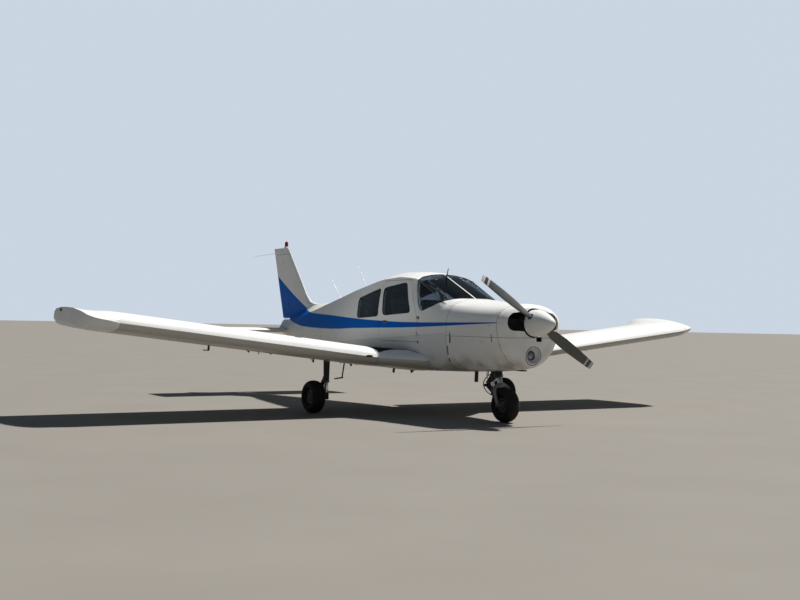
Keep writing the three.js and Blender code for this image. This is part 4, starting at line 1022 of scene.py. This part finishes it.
wire("nose_hose", [(HOSE_X, y, z) for y, z in HOSE_PATH], HOSE_RADIUS, "trim_black", "nose_steer")

mesh = bmesh.new()
turned(mesh, NOSE_SLEEVE, AXLE_PLACE, LEG_UP, closed=True)
keep(mesh, "nose_tube", "chrome", "nose_steer")

mesh = bmesh.new()
for side in (-1, 1):
    turned(mesh, NOSE_NUT, AXLE_PLACE, (side, 0, 0), steps=6)
    rod(mesh, LINK_KNEE + by(side * KNEE_START), LINK_KNEE + by(side * KNEE_END), KNEE_RADIUS, sides=6)
for foot in NOSE_COLLAR_FEET:
    turned(mesh, [(radius, foot + up) for radius, up in NOSE_COLLAR], AXLE_PLACE, LEG_UP, closed=True)
keep(mesh, "nose_leg_nuts", "fastener_grey", "nose_steer")

# %% [markdown]
# ## Window seals
# Each pane sits in a black rubber seal. The outline of the pane's outer face is found on the
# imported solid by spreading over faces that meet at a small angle. A thin tube follows it.
# The faces found are kept in a dict, because a set has no fixed order from run to run.

# %% Find the outline of a pane's outer face
FLAT_ANGLE = math.radians(40)


def outer_outline(node, outward):
    mesh = bmesh.new()
    mesh.from_mesh(nodes[node].data)
    bmesh.ops.remove_doubles(mesh, verts=mesh.verts, dist=WELD_DISTANCE)
    first = max(mesh.faces, key=lambda face: face.calc_area() * face.normal.dot(Vector(outward)))
    island, border = {first: True}, [first]
    while border:
        for edge in border.pop().edges:
            for other in edge.link_faces:
                if other not in island and edge.calc_face_angle(0) < FLAT_ANGLE:
                    island[other] = True
                    border.append(other)
    rim = [edge for face in island for edge in face.edges if sum(f in island for f in edge.link_faces) == 1]
    follow = {}
    for edge in rim:
        for vert in edge.verts:
            follow.setdefault(vert, []).append(edge.other_vert(vert))
    start = max(follow, key=lambda vert: vert.co.z)
    path, last, here = [start], None, start
    while True:
        ahead = [vert for vert in follow[here] if vert != last]
        last, here = here, ahead[0]
        if here == start or len(path) > len(follow):
            break
        path.append(here)
    outline = [vert.co.copy() for vert in path]
    mesh.free()
    return outline


def thinned(path, gap):
    kept = [path[0]]
    for spot in path[1:]:
        if (spot - kept[-1]).length > gap:
            kept.append(spot)
    return kept


# %% One seal round each pane
PANES = {
    # pane: a direction out of its outer face, body
    "windscreen_left": ((0.3, -0.7, 0.6), "airframe"), "windscreen_right": ((-0.3, -0.7, 0.6), "airframe"),
    "front_window_left": ((1, 0, 0.2), "airframe"), "door_window": ((-1, 0, 0.2), "door"),
    "rear_window_left": ((1, 0, 0.2), "airframe"), "rear_window_right": ((-1, 0, 0.2), "airframe"),
}
SEAL_RADIUS, SEAL_GAP = 0.0055, 0.004
for pane, (outward, body) in PANES.items():
    outline = thinned(outer_outline(pane, outward), SEAL_GAP)
    wire(f"{pane}_seal", outline, SEAL_RADIUS, "trim_black", body, cyclic=True, smooth=False)
    print(pane, "outline points:", len(outline))

# %% [markdown]
# ## Small parts of the nose
# Latches and quarter-turn fasteners hold the cowl. They lie on the skin, so a ray toward
# the middle of the aircraft finds the place and the direction of each.

# %% Flat studs and straps on the skin
STRAP_HEIGHT, STRAP_BARS = 0.004, 4


def stud(mesh, spot, normal, radius=0.006, height=0.0025):
    rod(mesh, spot - normal * 0.002, spot + normal * height, radius, radius * 0.8, 12)


def strap(mesh, side, node, y, low, high, width):
    heights = [low + (high - low) * i / STRAP_BARS for i in range(STRAP_BARS + 1)]
    places = [beside(node, side, y, z)[0] for z in heights]
    for first, second in zip(places, places[1:]):
        along = second - first
        turn = along.to_track_quat("Z", "X").to_matrix().to_4x4()
        bar(mesh, (first + second) / 2, (2 * STRAP_HEIGHT, width, along.length + 0.001), turn=turn)


# %% Fasteners and latches of the cowl
COWL_SPLIT_Z = 1.012
COWL_STUDS = [
    (-2.212, 1.056), (-2.175, 0.817), (-2.165, 0.721), (-2.412, 1.240), (-2.90, 1.15), (-2.62, 0.98),
    (-2.78, 0.955),
]
BOWL_STUDS = [
    (-3.036, 1.050), (-3.036, 0.925), (-3.036, 0.80), (-3.034, 1.28), (-3.066, 1.170), (-3.102, 1.165),
]
# Straps and latches: node, y, low end, high end, width
COWL_STRAPS = [("cowl_lower", -2.935, 0.957, 1.006, 0.010), ("cowl_top", -2.935, 1.014, 1.048, 0.010)]
COWL_LATCHES = [
    ("cowl_lower", -2.222, 0.926, 1.006, 0.020), ("cowl_top", -2.222, 1.014, 1.044, 0.020),
    ("cowl_lower", -2.172, 0.785, 0.895, 0.014), ("cowl_lower", -2.172, 0.705, 0.745, 0.014),
]
mesh = bmesh.new()
for side in (-1, 1):
    for y, z in COWL_STUDS:
        stud(mesh, *beside("cowl_top" if z > COWL_SPLIT_Z else "cowl_lower", side, y, z))
    for y, z in BOWL_STUDS:
        stud(mesh, *beside("nose_bowl", side, y, z), 0.005)
    for values in COWL_STRAPS:
        strap(mesh, side, *values)
keep(mesh, "cowl_fasteners", "fastener_grey")
mesh = bmesh.new()
for side in (-1, 1):
    for values in COWL_LATCHES:
        strap(mesh, side, *values)
keep(mesh, "cowl_latches", "trim_black")

# %% [markdown]
# ### Spinner screws
# A ring of screws holds the spinner to its plate. Rays toward the propeller's axis place
# them, so that each lies flush with the cone, and they turn with it.

# %% Screws round the spinner's foot
SCREWS, SCREW_Y, SCREW_RADIUS, SCREW_HEIGHT = 12, -3.185, 0.0055, 0.002
mesh = bmesh.new()
for x, z in round_places(SCREWS, 0.5):
    spot, normal = on_skin("spinner", by(x, SCREW_Y, HUB_Z + z), by(-x, 0, -z))
    stud(mesh, spot, normal, SCREW_RADIUS, SCREW_HEIGHT)
keep(mesh, "spinner_screws", "fastener_grey", "airscrew")

# %% [markdown]
# ### Ring of the landing lamp
# A metal ring with three screws holds the lens, and a dark gap runs round the dish, where the
# wall of the recess lies in shade. The ring is a spun section. The gap and that shade are
# painted as one thin dark tube that follows the curved nose.

# %% Ring, screws and dark edge of the landing lamp
RING_SCREWS_RADIUS, LAMP_EDGE = 0.064, 0.1085
LAMP_RING = [(0.006, -0.001), (0.006, 0.003), (0.0, 0.005), (-0.004, 0.0)]
ring = [(LENS_RADIUS + out, height) for out, height in LAMP_RING]
mesh = bmesh.new()
lamp_front = on_skin("landing_light", (0.02, -5, LAMP_Z), (0, 1, 0))[0].y
turned(mesh, ring, (0, lamp_front, LAMP_Z), (0, -1, 0), steps=48, closed=True)
for x, z in round_places(3, 0.75):
    spot = by(x * RING_SCREWS_RADIUS, lamp_front, LAMP_Z + z * RING_SCREWS_RADIUS)
    stud(mesh, spot, by(y=-1), 0.004, 0.004)
keep(mesh, "lamp_ring", "fastener_grey")
# The dark edge: the gap round the dish and the painted shade of the recess wall, as one black tube
rays = [(x * LAMP_EDGE, -5, LAMP_Z + z * LAMP_EDGE) for x, z in round_places(40)]
edge = [on_skin("nose_bowl", start, (0, 1, 0))[0] for start in rays]
wire("lamp_gap_and_shade", edge, 0.004, "trim_black", cyclic=True, smooth=False)

# %% [markdown]
# ### Drains
# Fuel and breather tubes end under the cowl, beside a flat plate. Plain rods through the
# skin are enough for the tubes, since only their ends are seen.

# %% Plate and drain tubes under the cowl
PLATE_PLACE, PLATE_SIZE = (0.10, -2.80), (0.07, 0.13, 0.014)
DRAIN_TUBES = ((0.16, -2.08, 0.05), (0.05, -2.00, 0.03))
mesh = bmesh.new()
spot, normal = below("cowl_lower", *PLATE_PLACE)
bar(mesh, spot + normal * 0.006, PLATE_SIZE, 0.003)
for x, y, length in DRAIN_TUBES:
    spot, normal = below("cabin_floor", x, y)
    rod(mesh, spot - normal * 0.004, spot + by(0, 0.012, -length), 0.006, sides=12)
keep(mesh, "belly_drains", "trim_black")

# %% [markdown]
# ## Door
# The door hangs on two outside hinges and has a small flush handle. Each is a bevelled bar
# on the skin, where a ray finds it. The handle rides on the door and opens with it.

# %% Hinge plates, handle and its plate
HINGE_Y, HINGE_PLATE = -1.572, (0.006, 0.022, 0.030)
HANDLE_PLACE, HANDLE_PLATE, HANDLE_SIZE = (-0.80, 1.162), (0.006, 0.085, 0.034), (0.008, 0.060, 0.014)
HANDLE_PIVOT = by(y=0.022)
mesh = bmesh.new()
for node, z in (("front_body", 1.222), ("cabin_floor", 0.919)):
    spot, normal = beside(node, -1, HINGE_Y, z)
    bar(mesh, spot + normal * 0.002, HINGE_PLATE, 0.0015)
keep(mesh, "door_hinge_plates", "trim_black")

spot, normal = beside("cabin_door", -1, *HANDLE_PLACE)
mesh = bmesh.new()
bar(mesh, spot + normal * 0.001, HANDLE_PLATE, 0.0025)
keep(mesh, "door_handle_plate", "fastener_grey", "door")
mesh = bmesh.new()
bar(mesh, spot + normal * 0.006, HANDLE_SIZE, 0.003)
rod(mesh, spot + HANDLE_PIVOT, spot + normal * 0.009 + HANDLE_PIVOT, 0.008)
keep(mesh, "door_handle", "trim_black", "door")

# %% [markdown]
# ### Belly masts
# Two flat blades under the floor carry a vent and an aerial. Each is a bevelled bar, tilted
# about the span axis and sunk into the skin, so that no gap shows at its foot.

# %% Two masts under the belly
BELLY_MASTS = [
    # x, y, drop of the middle, size, tilt, rounding
    (-0.28, -0.60, 0.03, (0.012, 0.045, 0.08), 0.3, 0.004),
    (0.0, -0.62, 0.025, (0.014, 0.10, 0.06), -0.5, 0.005),
]
mesh = bmesh.new()
for x, y, drop, size, tilt, rounding in BELLY_MASTS:
    bar(mesh, below("cabin_floor", x, y)[0] - by(z=drop), size, rounding, tilted(tilt))
keep(mesh, "belly_masts", "trim_black")

# %% [markdown]
# ## Small parts of the wings
# Fuel caps lie in the upper skin. Hinge fairings, a mast with its tube, tie-down rings and
# drains hang under the wing. One loop makes both sides, and the pieces of one kind share a
# mesh, because none of them moves.

# %% Fuel caps, hinge fairings, masts, tie-down rings and drains
CAP_PLACE, CAP_GRIP = (1.98, -1.13), (0.042, 0.010, 0.006)
CAP_PROFILE = [
    (0.0, 0.005), (0.026, 0.005), (0.030, 0.003), (0.043, 0.003), (0.046, 0.0), (0.046, -0.002),
    (0.0, -0.002),
]
FAIRING_Y = -0.17
FAIRINGS = [(0.68, 0.045), (1.25, 0.055), (1.865, 0.022), (2.175, 0.032)]
MAST_PLACE, MAST_SIZE, MAST_TILT = (2.94, -0.68), (0.014, 0.040, 0.068), 0.15
RING_PLACE, RING_SECTION = (2.40, -0.92), [(0.013, 0.0035), (0.0165, 0.0), (0.013, -0.0035), (0.0095, 0.0)]
WING_DRAINS = ((0.85, -0.60), (1.10, -0.62))

caps, brackets, rings = bmesh.new(), bmesh.new(), bmesh.new()
for side, label in SIDES:
    wing = f"wing_{label}"
    spot, normal = above(wing, side * CAP_PLACE[0], CAP_PLACE[1])
    turned(caps, CAP_PROFILE, spot, normal)
    bar(caps, spot + normal * 0.007, CAP_GRIP, 0.002, facing((0, 0, 0), normal))
    for x, depth in FAIRINGS:
        spot = below(wing, side * x, FAIRING_Y)[0]
        bar(brackets, spot + by(z=0.010 - depth / 2), (0.013, 0.030, depth + 0.020), 0.003)
        low_end = spot + by(0, -0.010, 0.008 - depth)
        rod(brackets, low_end, spot + by(side * 0.06, -0.015, 0.004), 0.004, sides=10)
    spot = below(wing, side * MAST_PLACE[0], MAST_PLACE[1])[0]
    bar(brackets, spot + by(z=-0.024), MAST_SIZE, 0.004, tilted(MAST_TILT))
    rod(brackets, spot + by(0, -0.01, -0.055), spot + by(side * 0.065, 0.02, -0.052), 0.006, sides=12)
    spot = below(wing, side * RING_PLACE[0], RING_PLACE[1])[0]
    turned(rings, RING_SECTION, spot + by(z=-0.013), (1, 0, 0), 20, True)
    for x, y in WING_DRAINS:
        spot, normal = below(wing, side * x, y)
        rod(brackets, spot - normal * 0.004, spot + normal * 0.012, 0.008, 0.006, 12)
keep(caps, "fuel_caps", "fastener_grey")
keep(brackets, "wing_brackets", "trim_black")
keep(rings, "tie_down_rings", "fastener_grey")

# %% [markdown]
# ### Gap at the wing root
# A soft strip fills the gap between wing and body, and shade falls in the corner there. A thin
# near-black tube laid on the wing by a row of rays paints the strip and that shade as one dark
# line, without a cut in either solid.

# %% Dark gap and painted shade where each wing root meets the body
ROOT_X, ROOT_FRONT, ROOT_BACK, ROOT_STEPS, GAP_RADIUS = 0.5665, -1.62, -0.14, 24, 0.0045
for side, label in SIDES:
    lengths = [ROOT_FRONT + (ROOT_BACK - ROOT_FRONT) * i / ROOT_STEPS for i in range(ROOT_STEPS + 1)]
    gap = [above(f"wing_{label}", side * ROOT_X, y)[0] for y in lengths]
    wire(f"root_seal_and_shade_wing_{label}", gap, GAP_RADIUS, "root_gap_and_shade", smooth=False)

# %% [markdown]
# ### Position lamps
# A small coloured dome stands on a metal base at each tip, red on the left and green on the
# right. Both are spun sections that face the way the skin faces there.

# %% Position lamps on the wing tips
POSITION_LAMP_PLACE = (-0.19, 1.238)
LAMP_BASE = [(0.0, 0.004), (0.021, 0.004), (0.023, 0.0), (0.023, -0.004), (0.0, -0.004)]
LENS_PROFILE = [
    (0.0, 0.026), (0.008, 0.0245), (0.014, 0.019), (0.017, 0.010), (0.0175, -0.004), (0.0, -0.004),
]
LAMP_FINISHES = {"left": "lamp_red", "right": "lamp_green"}
for side, label in SIDES:
    spot, normal = beside(f"wing_tip_{label}", side, *POSITION_LAMP_PLACE)
    mesh = bmesh.new()
    turned(mesh, LAMP_BASE, spot, normal, steps=24)
    keep(mesh, f"position_lamp_base_{label}", "fastener_grey")
    mesh = bmesh.new()
    turned(mesh, LENS_PROFILE, spot - normal * 0.006, normal, steps=24)
    keep(mesh, f"position_lamp_{label}", LAMP_FINISHES[label])

# %% [markdown]
# ## Aerials
# Two white whips stand on the roof of the tail, and a short probe over the windscreen. Each
# is a tapered rod in a rubber foot, aimed at the tip that the photograph shows.

# %% Whips with rubber feet, and the probe
WHIP_RADIUS, WHIP_TIP, WHIP_FOOT = 0.0058, 0.003, 0.016
PROBE_RADIUS, PROBE_TIP, PROBE_FOOT = 0.0065, 0.005, 0.018


def whip(mesh, base, tip, thick, thin, foot):
    rise = (Vector(tip) - base).normalized()
    rod(mesh, base - rise * 0.01, tip, thick, thin, sides=10)
    rod(mesh, base - by(z=0.006), base + rise * 0.022, foot, thick * 1.3)


mesh = bmesh.new()
for y, tip in ((1.305, (0, 1.606, 1.759)), (0.563, (0, 0.853, 1.937))):
    whip(mesh, above("tail_cone", 0.004, y)[0], tip, WHIP_RADIUS, WHIP_TIP, WHIP_FOOT)
keep(mesh, "whip_aerials", "enamel_white")

mesh = bmesh.new()
base = above("cabin_roof", 0.004, -1.373)[0]
whip(mesh, base, (0, -1.411, 1.851), PROBE_RADIUS, PROBE_TIP, PROBE_FOOT)
keep(mesh, "roof_probe", "trim_black")

# %% [markdown]
# ### V aerial
# Two thin rods in a V receive radio signals at the top of the fin. In this model their foot
# is on the rudder's cap, so they ride on the rudder.

# %% V aerial: its two rods stand on the rudder's cap, so they turn with it
V_FOOT, V_TIP = (3.245, 2.222), (0.36, 3.50, 2.15)
mesh = bmesh.new()
for side in (-1, 1):
    spot, normal = beside("rudder", side, *V_FOOT)
    rod(mesh, spot - normal * 0.003, spot + normal * 0.012, 0.012, 0.008, 14)
    rod(mesh, spot, on_side(side, V_TIP), 0.0034, 0.0022, 10)
keep(mesh, "v_aerial", "enamel_white", "rudder")

# %% [markdown]
# ## Seats
# The front seats and the rear bench are padded cloth over a metal frame. Each cushion starts
# as a rounded slab a little smaller than the cushion. It is remeshed, then blown up with a
# cloth simulation, so its faces crown and its sides pull in between the corners. The free
# simulation swells more than the seat has room for, so all its moves are made smaller by
# one factor. The sewn channels come last, as grooves pressed into the swollen form.

# %% Settings of the cushions
VOXEL, SIM_FRAMES, SWELL_LIMIT = 0.0085, 20, 0.012
CLOTH = {
    "quality": 4, "mass": 0.3, "tension_stiffness": 12, "compression_stiffness": 12, "bending_stiffness": 0.4,
    "use_pressure": True, "uniform_pressure_force": 4.0,
}
CHANNEL_DEPTH, CHANNEL_WIDTH = 0.009, 0.0075
WELT_WIDTH, WELT_SHARE = 0.0045, 0.45
CUSHIONS = {
    # label: size in x, y, z; channels across x; channel across the long way (axis, place)
    "front_base": ((0.345, 0.430, 0.082), (-0.058, 0.058), (1, -0.135)),
    "front_back": ((0.345, 0.072, 0.510), (-0.058, 0.058), (2, 0.165)),
    "rear_base": ((0.800, 0.350, 0.085), (-0.265, -0.133, 0.0, 0.133, 0.265), (1, -0.105)),
    "rear_back": ((0.800, 0.070, 0.440), (-0.265, -0.133, 0.0, 0.133, 0.265), (2, 0.13)),
}


# %% A rounded slab with even faces
def evaluated(piece):
    return bpy.data.meshes.new_from_object(piece.evaluated_get(bpy.context.evaluated_depsgraph_get()))


def even_slab(label, size):
    mesh = bmesh.new()
    bmesh.ops.create_cube(mesh, size=1, matrix=Matrix.Diagonal((*size, 1)))
    rounding = min(size) * 0.36
    bmesh.ops.bevel(
        mesh, geom=mesh.edges[:], offset=rounding, segments=4, profile=0.5, affect="EDGES", material=-1,
    )
    data = bpy.data.meshes.new(label)
    mesh.to_mesh(data)
    mesh.free()
    slab = bpy.data.objects.new(label, data)
    bpy.context.scene.collection.objects.link(slab)
    remesh = slab.modifiers.new("voxels", "REMESH")
    remesh.mode = "VOXEL"
    remesh.voxel_size = VOXEL
    even = evaluated(slab)
    slab.modifiers.clear()
    slab.data = even
    return slab


# %% The slab blown up by the cloth simulation
def blown_up(slab):
    cloth = slab.modifiers.new("cloth", "CLOTH")
    for setting, value in CLOTH.items():
        setattr(cloth.settings, setting, value)
    cloth.settings.effector_weights.gravity = 0
    cloth.point_cache.frame_start, cloth.point_cache.frame_end = 1, SIM_FRAMES
    for frame_number in range(1, SIM_FRAMES + 1):
        bpy.context.scene.frame_set(frame_number)
    after = evaluated(slab)
    slab.modifiers.clear()
    bpy.context.scene.frame_set(1)
    return [vert.co.copy() for vert in after.vertices]


def swollen(label, size):
    slab = even_slab(label, size)
    even = slab.data
    before = [vert.co.copy() for vert in even.vertices]
    after = blown_up(slab)
    moves = [end - start for start, end in zip(before, after)]
    largest = max(move.length for move in moves)
    share = SWELL_LIMIT / max(SWELL_LIMIT, largest)
    for vert, start, move in zip(even.vertices, before, moves):
        vert.co = start + move * share
    print(label, "points:", len(before), "largest swell:", round(largest * 1000, 1), "mm")
    bpy.data.objects.remove(slab)
    return even


# %% Press the sewn channels and the welt round the edge in
def channelled(data, size, across, seam_line):
    mesh = bmesh.new()
    mesh.from_mesh(data)
    bmesh.ops.subdivide_edges(mesh, edges=mesh.edges[:], cuts=1, use_grid_fill=True, smooth=0.6)
    mesh.normal_update()
    axis, place = seam_line
    thin = 2 if size[2] < size[1] else 1
    for vert in mesh.verts:
        flatness = abs(vert.normal[thin])
        depth = max(math.exp(-(((vert.co.x - x) / CHANNEL_WIDTH) ** 2)) for x in across)
        depth = max(depth, math.exp(-(((vert.co[axis] - place) / CHANNEL_WIDTH) ** 2)))
        welt = math.exp(-((vert.co[thin] / WELT_WIDTH) ** 2)) * (1 - flatness) * WELT_SHARE
        vert.co -= vert.normal * (max(depth * flatness, welt) * CHANNEL_DEPTH)
    return mesh


# %% The cushions in their places
SEAT_X = 0.24
SEAT_PLACES = {
    # piece: form, place, lean in degrees, node it stands for
    "front_left_base": ("front_base", (SEAT_X, -1.072, 0.907), -4.0, "front_seat_left"),
    "front_left_back": ("front_back", (SEAT_X, -0.757, 1.212), -12.6, "front_seat_left"),
    "front_right_base": ("front_base", (-SEAT_X, -1.072, 0.907), -4.0, "front_seat_right"),
    "front_right_back": ("front_back", (-SEAT_X, -0.757, 1.212), -12.6, "front_seat_right"),
    "rear_base": ("rear_base", (0.0, -0.272, 0.912), -3.0, "rear_seat"),
    "rear_back": ("rear_back", (0.0, 0.008, 1.188), -13.0, "rear_seat"),
}
forms = {label: swollen(label, values[0]) for label, values in CUSHIONS.items()}
for name, (label, place, lean, node) in SEAT_PLACES.items():
    mesh = channelled(forms[label], *CUSHIONS[label])
    turn = tilted(math.radians(lean))
    bmesh.ops.transform(mesh, matrix=Matrix.Translation(place) @ turn, verts=mesh.verts)
    cushion = keep(mesh, f"{name}_cushion", "seat_cloth", crease=180)
    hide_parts(node)

# %% [markdown]
# ### Seat frames
# A front seat stands on two rails with a frame of steel tube, a pan and a back plate. The
# rear bench sits on a box. Bars and rods are enough, since the cushions hide most of it.

# %% Seat frames: rails, legs, pan and back plate under the cloth
RAIL_OFFSET, RAIL_PLACE, RAIL_SIZE = 0.135, (-1.02, 0.7115), (0.030, 0.50, 0.022)
FRAME_RADIUS = 0.010
FRAME_RODS = [
    # lower end and upper end, each as y and z: front leg, rear leg, back tube
    ((-1.22, 0.715), (-1.235, 0.872)),
    ((-0.80, 0.715), (-0.835, 0.855)),
    ((-0.845, 0.85), (-0.705, 1.44)),
]
FRONT_PLATES = [
    # y and z, size, lean in degrees: pan, back
    ((-1.055, 0.862), (0.34, 0.43, 0.012), -4),
    ((-0.712, 1.20), (0.325, 0.010, 0.49), -12.6),
]
for side, label in SIDES:
    mesh = bmesh.new()
    for offset in (-RAIL_OFFSET, RAIL_OFFSET):
        x = side * SEAT_X + offset
        bar(mesh, (x, *RAIL_PLACE), RAIL_SIZE, 0.002)
        for low, high in FRAME_RODS:
            rod(mesh, (x, *low), (x, *high), FRAME_RADIUS)
    for place, size, lean in FRONT_PLATES:
        bar(mesh, (side * SEAT_X, *place), size, 0.003, tilted(math.radians(lean)))
    keep(mesh, f"front_seat_frame_{label}", "leg_grey")
mesh = bmesh.new()
bar(mesh, (0, -0.265, 0.782), (0.80, 0.37, 0.158), 0.006)
bar(mesh, (0, 0.053, 1.185), (0.79, 0.010, 0.46), 0.003, tilted(math.radians(-13)))
keep(mesh, "rear_seat_frame", "trim_black")

# %% [markdown]
# ## Instrument panel
# Round dials stand in rows in front of the left seat, with a radio stack in the middle and
# push-pull knobs below. They all face aft. The dials are spun sections on one grid, so one
# loop places them.

# %% Dials with bezels, radio stack and knobs
PANEL_Y = -1.709
DIALS = [(column, row) for column in (2, 3, 4) for row in (0, 1)]
DIALS += [(5, 0), (5, 1), (-3, 1), (-4, 1), (-5, 0), (-5, 1)]
DIAL_FACE = [(0.0, 0.004), (0.034, 0.004), (0.034, -0.001)]
BEZEL = [(0.0335, 0.0), (0.0335, 0.008), (0.036, 0.010), (0.040, 0.008), (0.040, 0.0)]
RADIOS, RADIO_X, RADIO_TOP, RADIO_PITCH, RADIO_SIZE = 4, -0.055, 1.335, 0.048, (0.165, 0.014, 0.044)
RADIO_KNOBS_X = (-0.118, 0.008)
KNOBS_X, KNOBS_Z = (-0.09, -0.045, 0.0, 0.045), 1.075

faces, bezels = bmesh.new(), bmesh.new()
for column, row in DIALS:
    spot = Vector((column * DIAL_PITCH, PANEL_Y, DIAL_ROW_Z + row * DIAL_PITCH))
    turned(faces, DIAL_FACE, spot, (0, 1, 0))
    turned(bezels, BEZEL, spot, (0, 1, 0), 32, True)
keep(faces, "panel_dials", "dial_face")
for i in range(RADIOS):
    height = RADIO_TOP - RADIO_PITCH * i
    bar(bezels, (RADIO_X, PANEL_Y + 0.006, height), RADIO_SIZE, 0.002)
    for x in RADIO_KNOBS_X:
        rod(bezels, (x, PANEL_Y + 0.012, height), (x, PANEL_Y + 0.030, height), 0.009, 0.008, 20)
for x in KNOBS_X:
    rod(bezels, (x, PANEL_Y, KNOBS_Z), (x, PANEL_Y + 0.055, KNOBS_Z), 0.004, sides=12)
    rod(bezels, (x, PANEL_Y + 0.050, KNOBS_Z), (x, PANEL_Y + 0.070, KNOBS_Z), 0.012, 0.010, 20)
keep(bezels, "panel_bezels", "fastener_grey")

# %% [markdown]
# ## Floor
# A plain floor carries the shadow of the aircraft. It is one large disc, with a soft
# mottle of two greys so that it doesn't look like paper, and it isn't part of the object.

# %% Floor
FLOOR_RADIUS = 140
FLOOR_DARK, FLOOR_LIGHT = (0.205, 0.188, 0.163, 1), (0.240, 0.222, 0.195, 1)
mesh = bmesh.new()
bmesh.ops.create_circle(mesh, cap_ends=True, segments=96, radius=FLOOR_RADIUS)
floor_data = bpy.data.meshes.new("floor")
mesh.to_mesh(floor_data)
mesh.free()
floor = bpy.data.objects.new("floor", floor_data)
bpy.context.scene.collection.objects.link(floor)
shader, place, axes = material("floor_pale")
feed(shader, {"Base Color": mix_colour(noise(place, 0.8, 8), FLOOR_DARK, FLOOR_LIGHT), "Roughness": 0.9})
floor_data.materials.append(bpy.data.materials["floor_pale"])
print("floor radius:", FLOOR_RADIUS)

# %% [markdown]
# ### Sky
# The photograph's sky is bright, yet the shaded side of the aircraft is fairly dark. One
# strength can't give both, so the world has two: one for what the camera sees directly or
# through glass, and a weaker one for the light.

# %% Sky: pale where it is seen, weaker where it lights
SKY_SEEN, SKY_SEEN_STRENGTH = (0.66, 0.74, 0.85, 1), 0.9
SKY_LIGHT, SKY_LIGHT_STRENGTH = (0.62, 0.79, 1.0, 1), 0.16
world = bpy.data.worlds.new("studio")
bpy.context.scene.world = world
world.use_nodes = True
tree = world.node_tree
sky = feed(tree.nodes["Background"], {"Color": SKY_LIGHT, "Strength": SKY_LIGHT_STRENGTH})
seen = step(tree, "ShaderNodeBackground", {"Color": SKY_SEEN, "Strength": SKY_SEEN_STRENGTH})
rays = [step(tree, "ShaderNodeLightPath", {}, kind) for kind in ("Is Camera Ray", "Is Transmission Ray")]
direct = calc("MAXIMUM", *rays)
blended = step(tree, "ShaderNodeMixShader", {0: direct, 1: Value(sky.outputs[0]), 2: seen})
feed(tree.nodes["World Output"], {"Surface": blended})
print("sky seen:", SKY_SEEN_STRENGTH, "sky light:", SKY_LIGHT_STRENGTH)

# %% [markdown]
# ### Lamp
# The light is hard sunlight from high on the left. A sun lamp gives the parallel shadows,
# and a small angle softens their edges as the real sun does.

# %% Lamp: one soft sun, turned as the photograph's shadows show
SUN_FROM = Vector((0.64, -0.02, 1.0))
SUN_STRENGTH, SUN_SPREAD, SUN_COLOUR = 5.7, math.radians(2.5), (1.0, 0.975, 0.94)
sun = bpy.data.lights.new("key", "SUN")
sun.energy, sun.angle, sun.color = SUN_STRENGTH, SUN_SPREAD, SUN_COLOUR
key = bpy.data.objects.new("key", sun)
bpy.context.scene.collection.objects.link(key)
key.rotation_euler = SUN_FROM.to_track_quat("Z", "Y").to_euler()
bpy.context.scene.view_settings.view_transform = "Standard"
print("sun:", SUN_STRENGTH, "turned by", [round(math.degrees(turn), 1) for turn in key.rotation_euler])

# %% [markdown]
# ## Finish
# The visual model should be as large as the solids. Here the new pieces are counted, with
# the faces of those that are meshes.

# %% Count the new pieces and their faces
made_meshes = [bpy.data.objects[name].data for name in made_pieces if bpy.data.objects[name].type == "MESH"]
print("pieces:", len(made_pieces), "faces:", sum(len(data.polygons) for data in made_meshes))
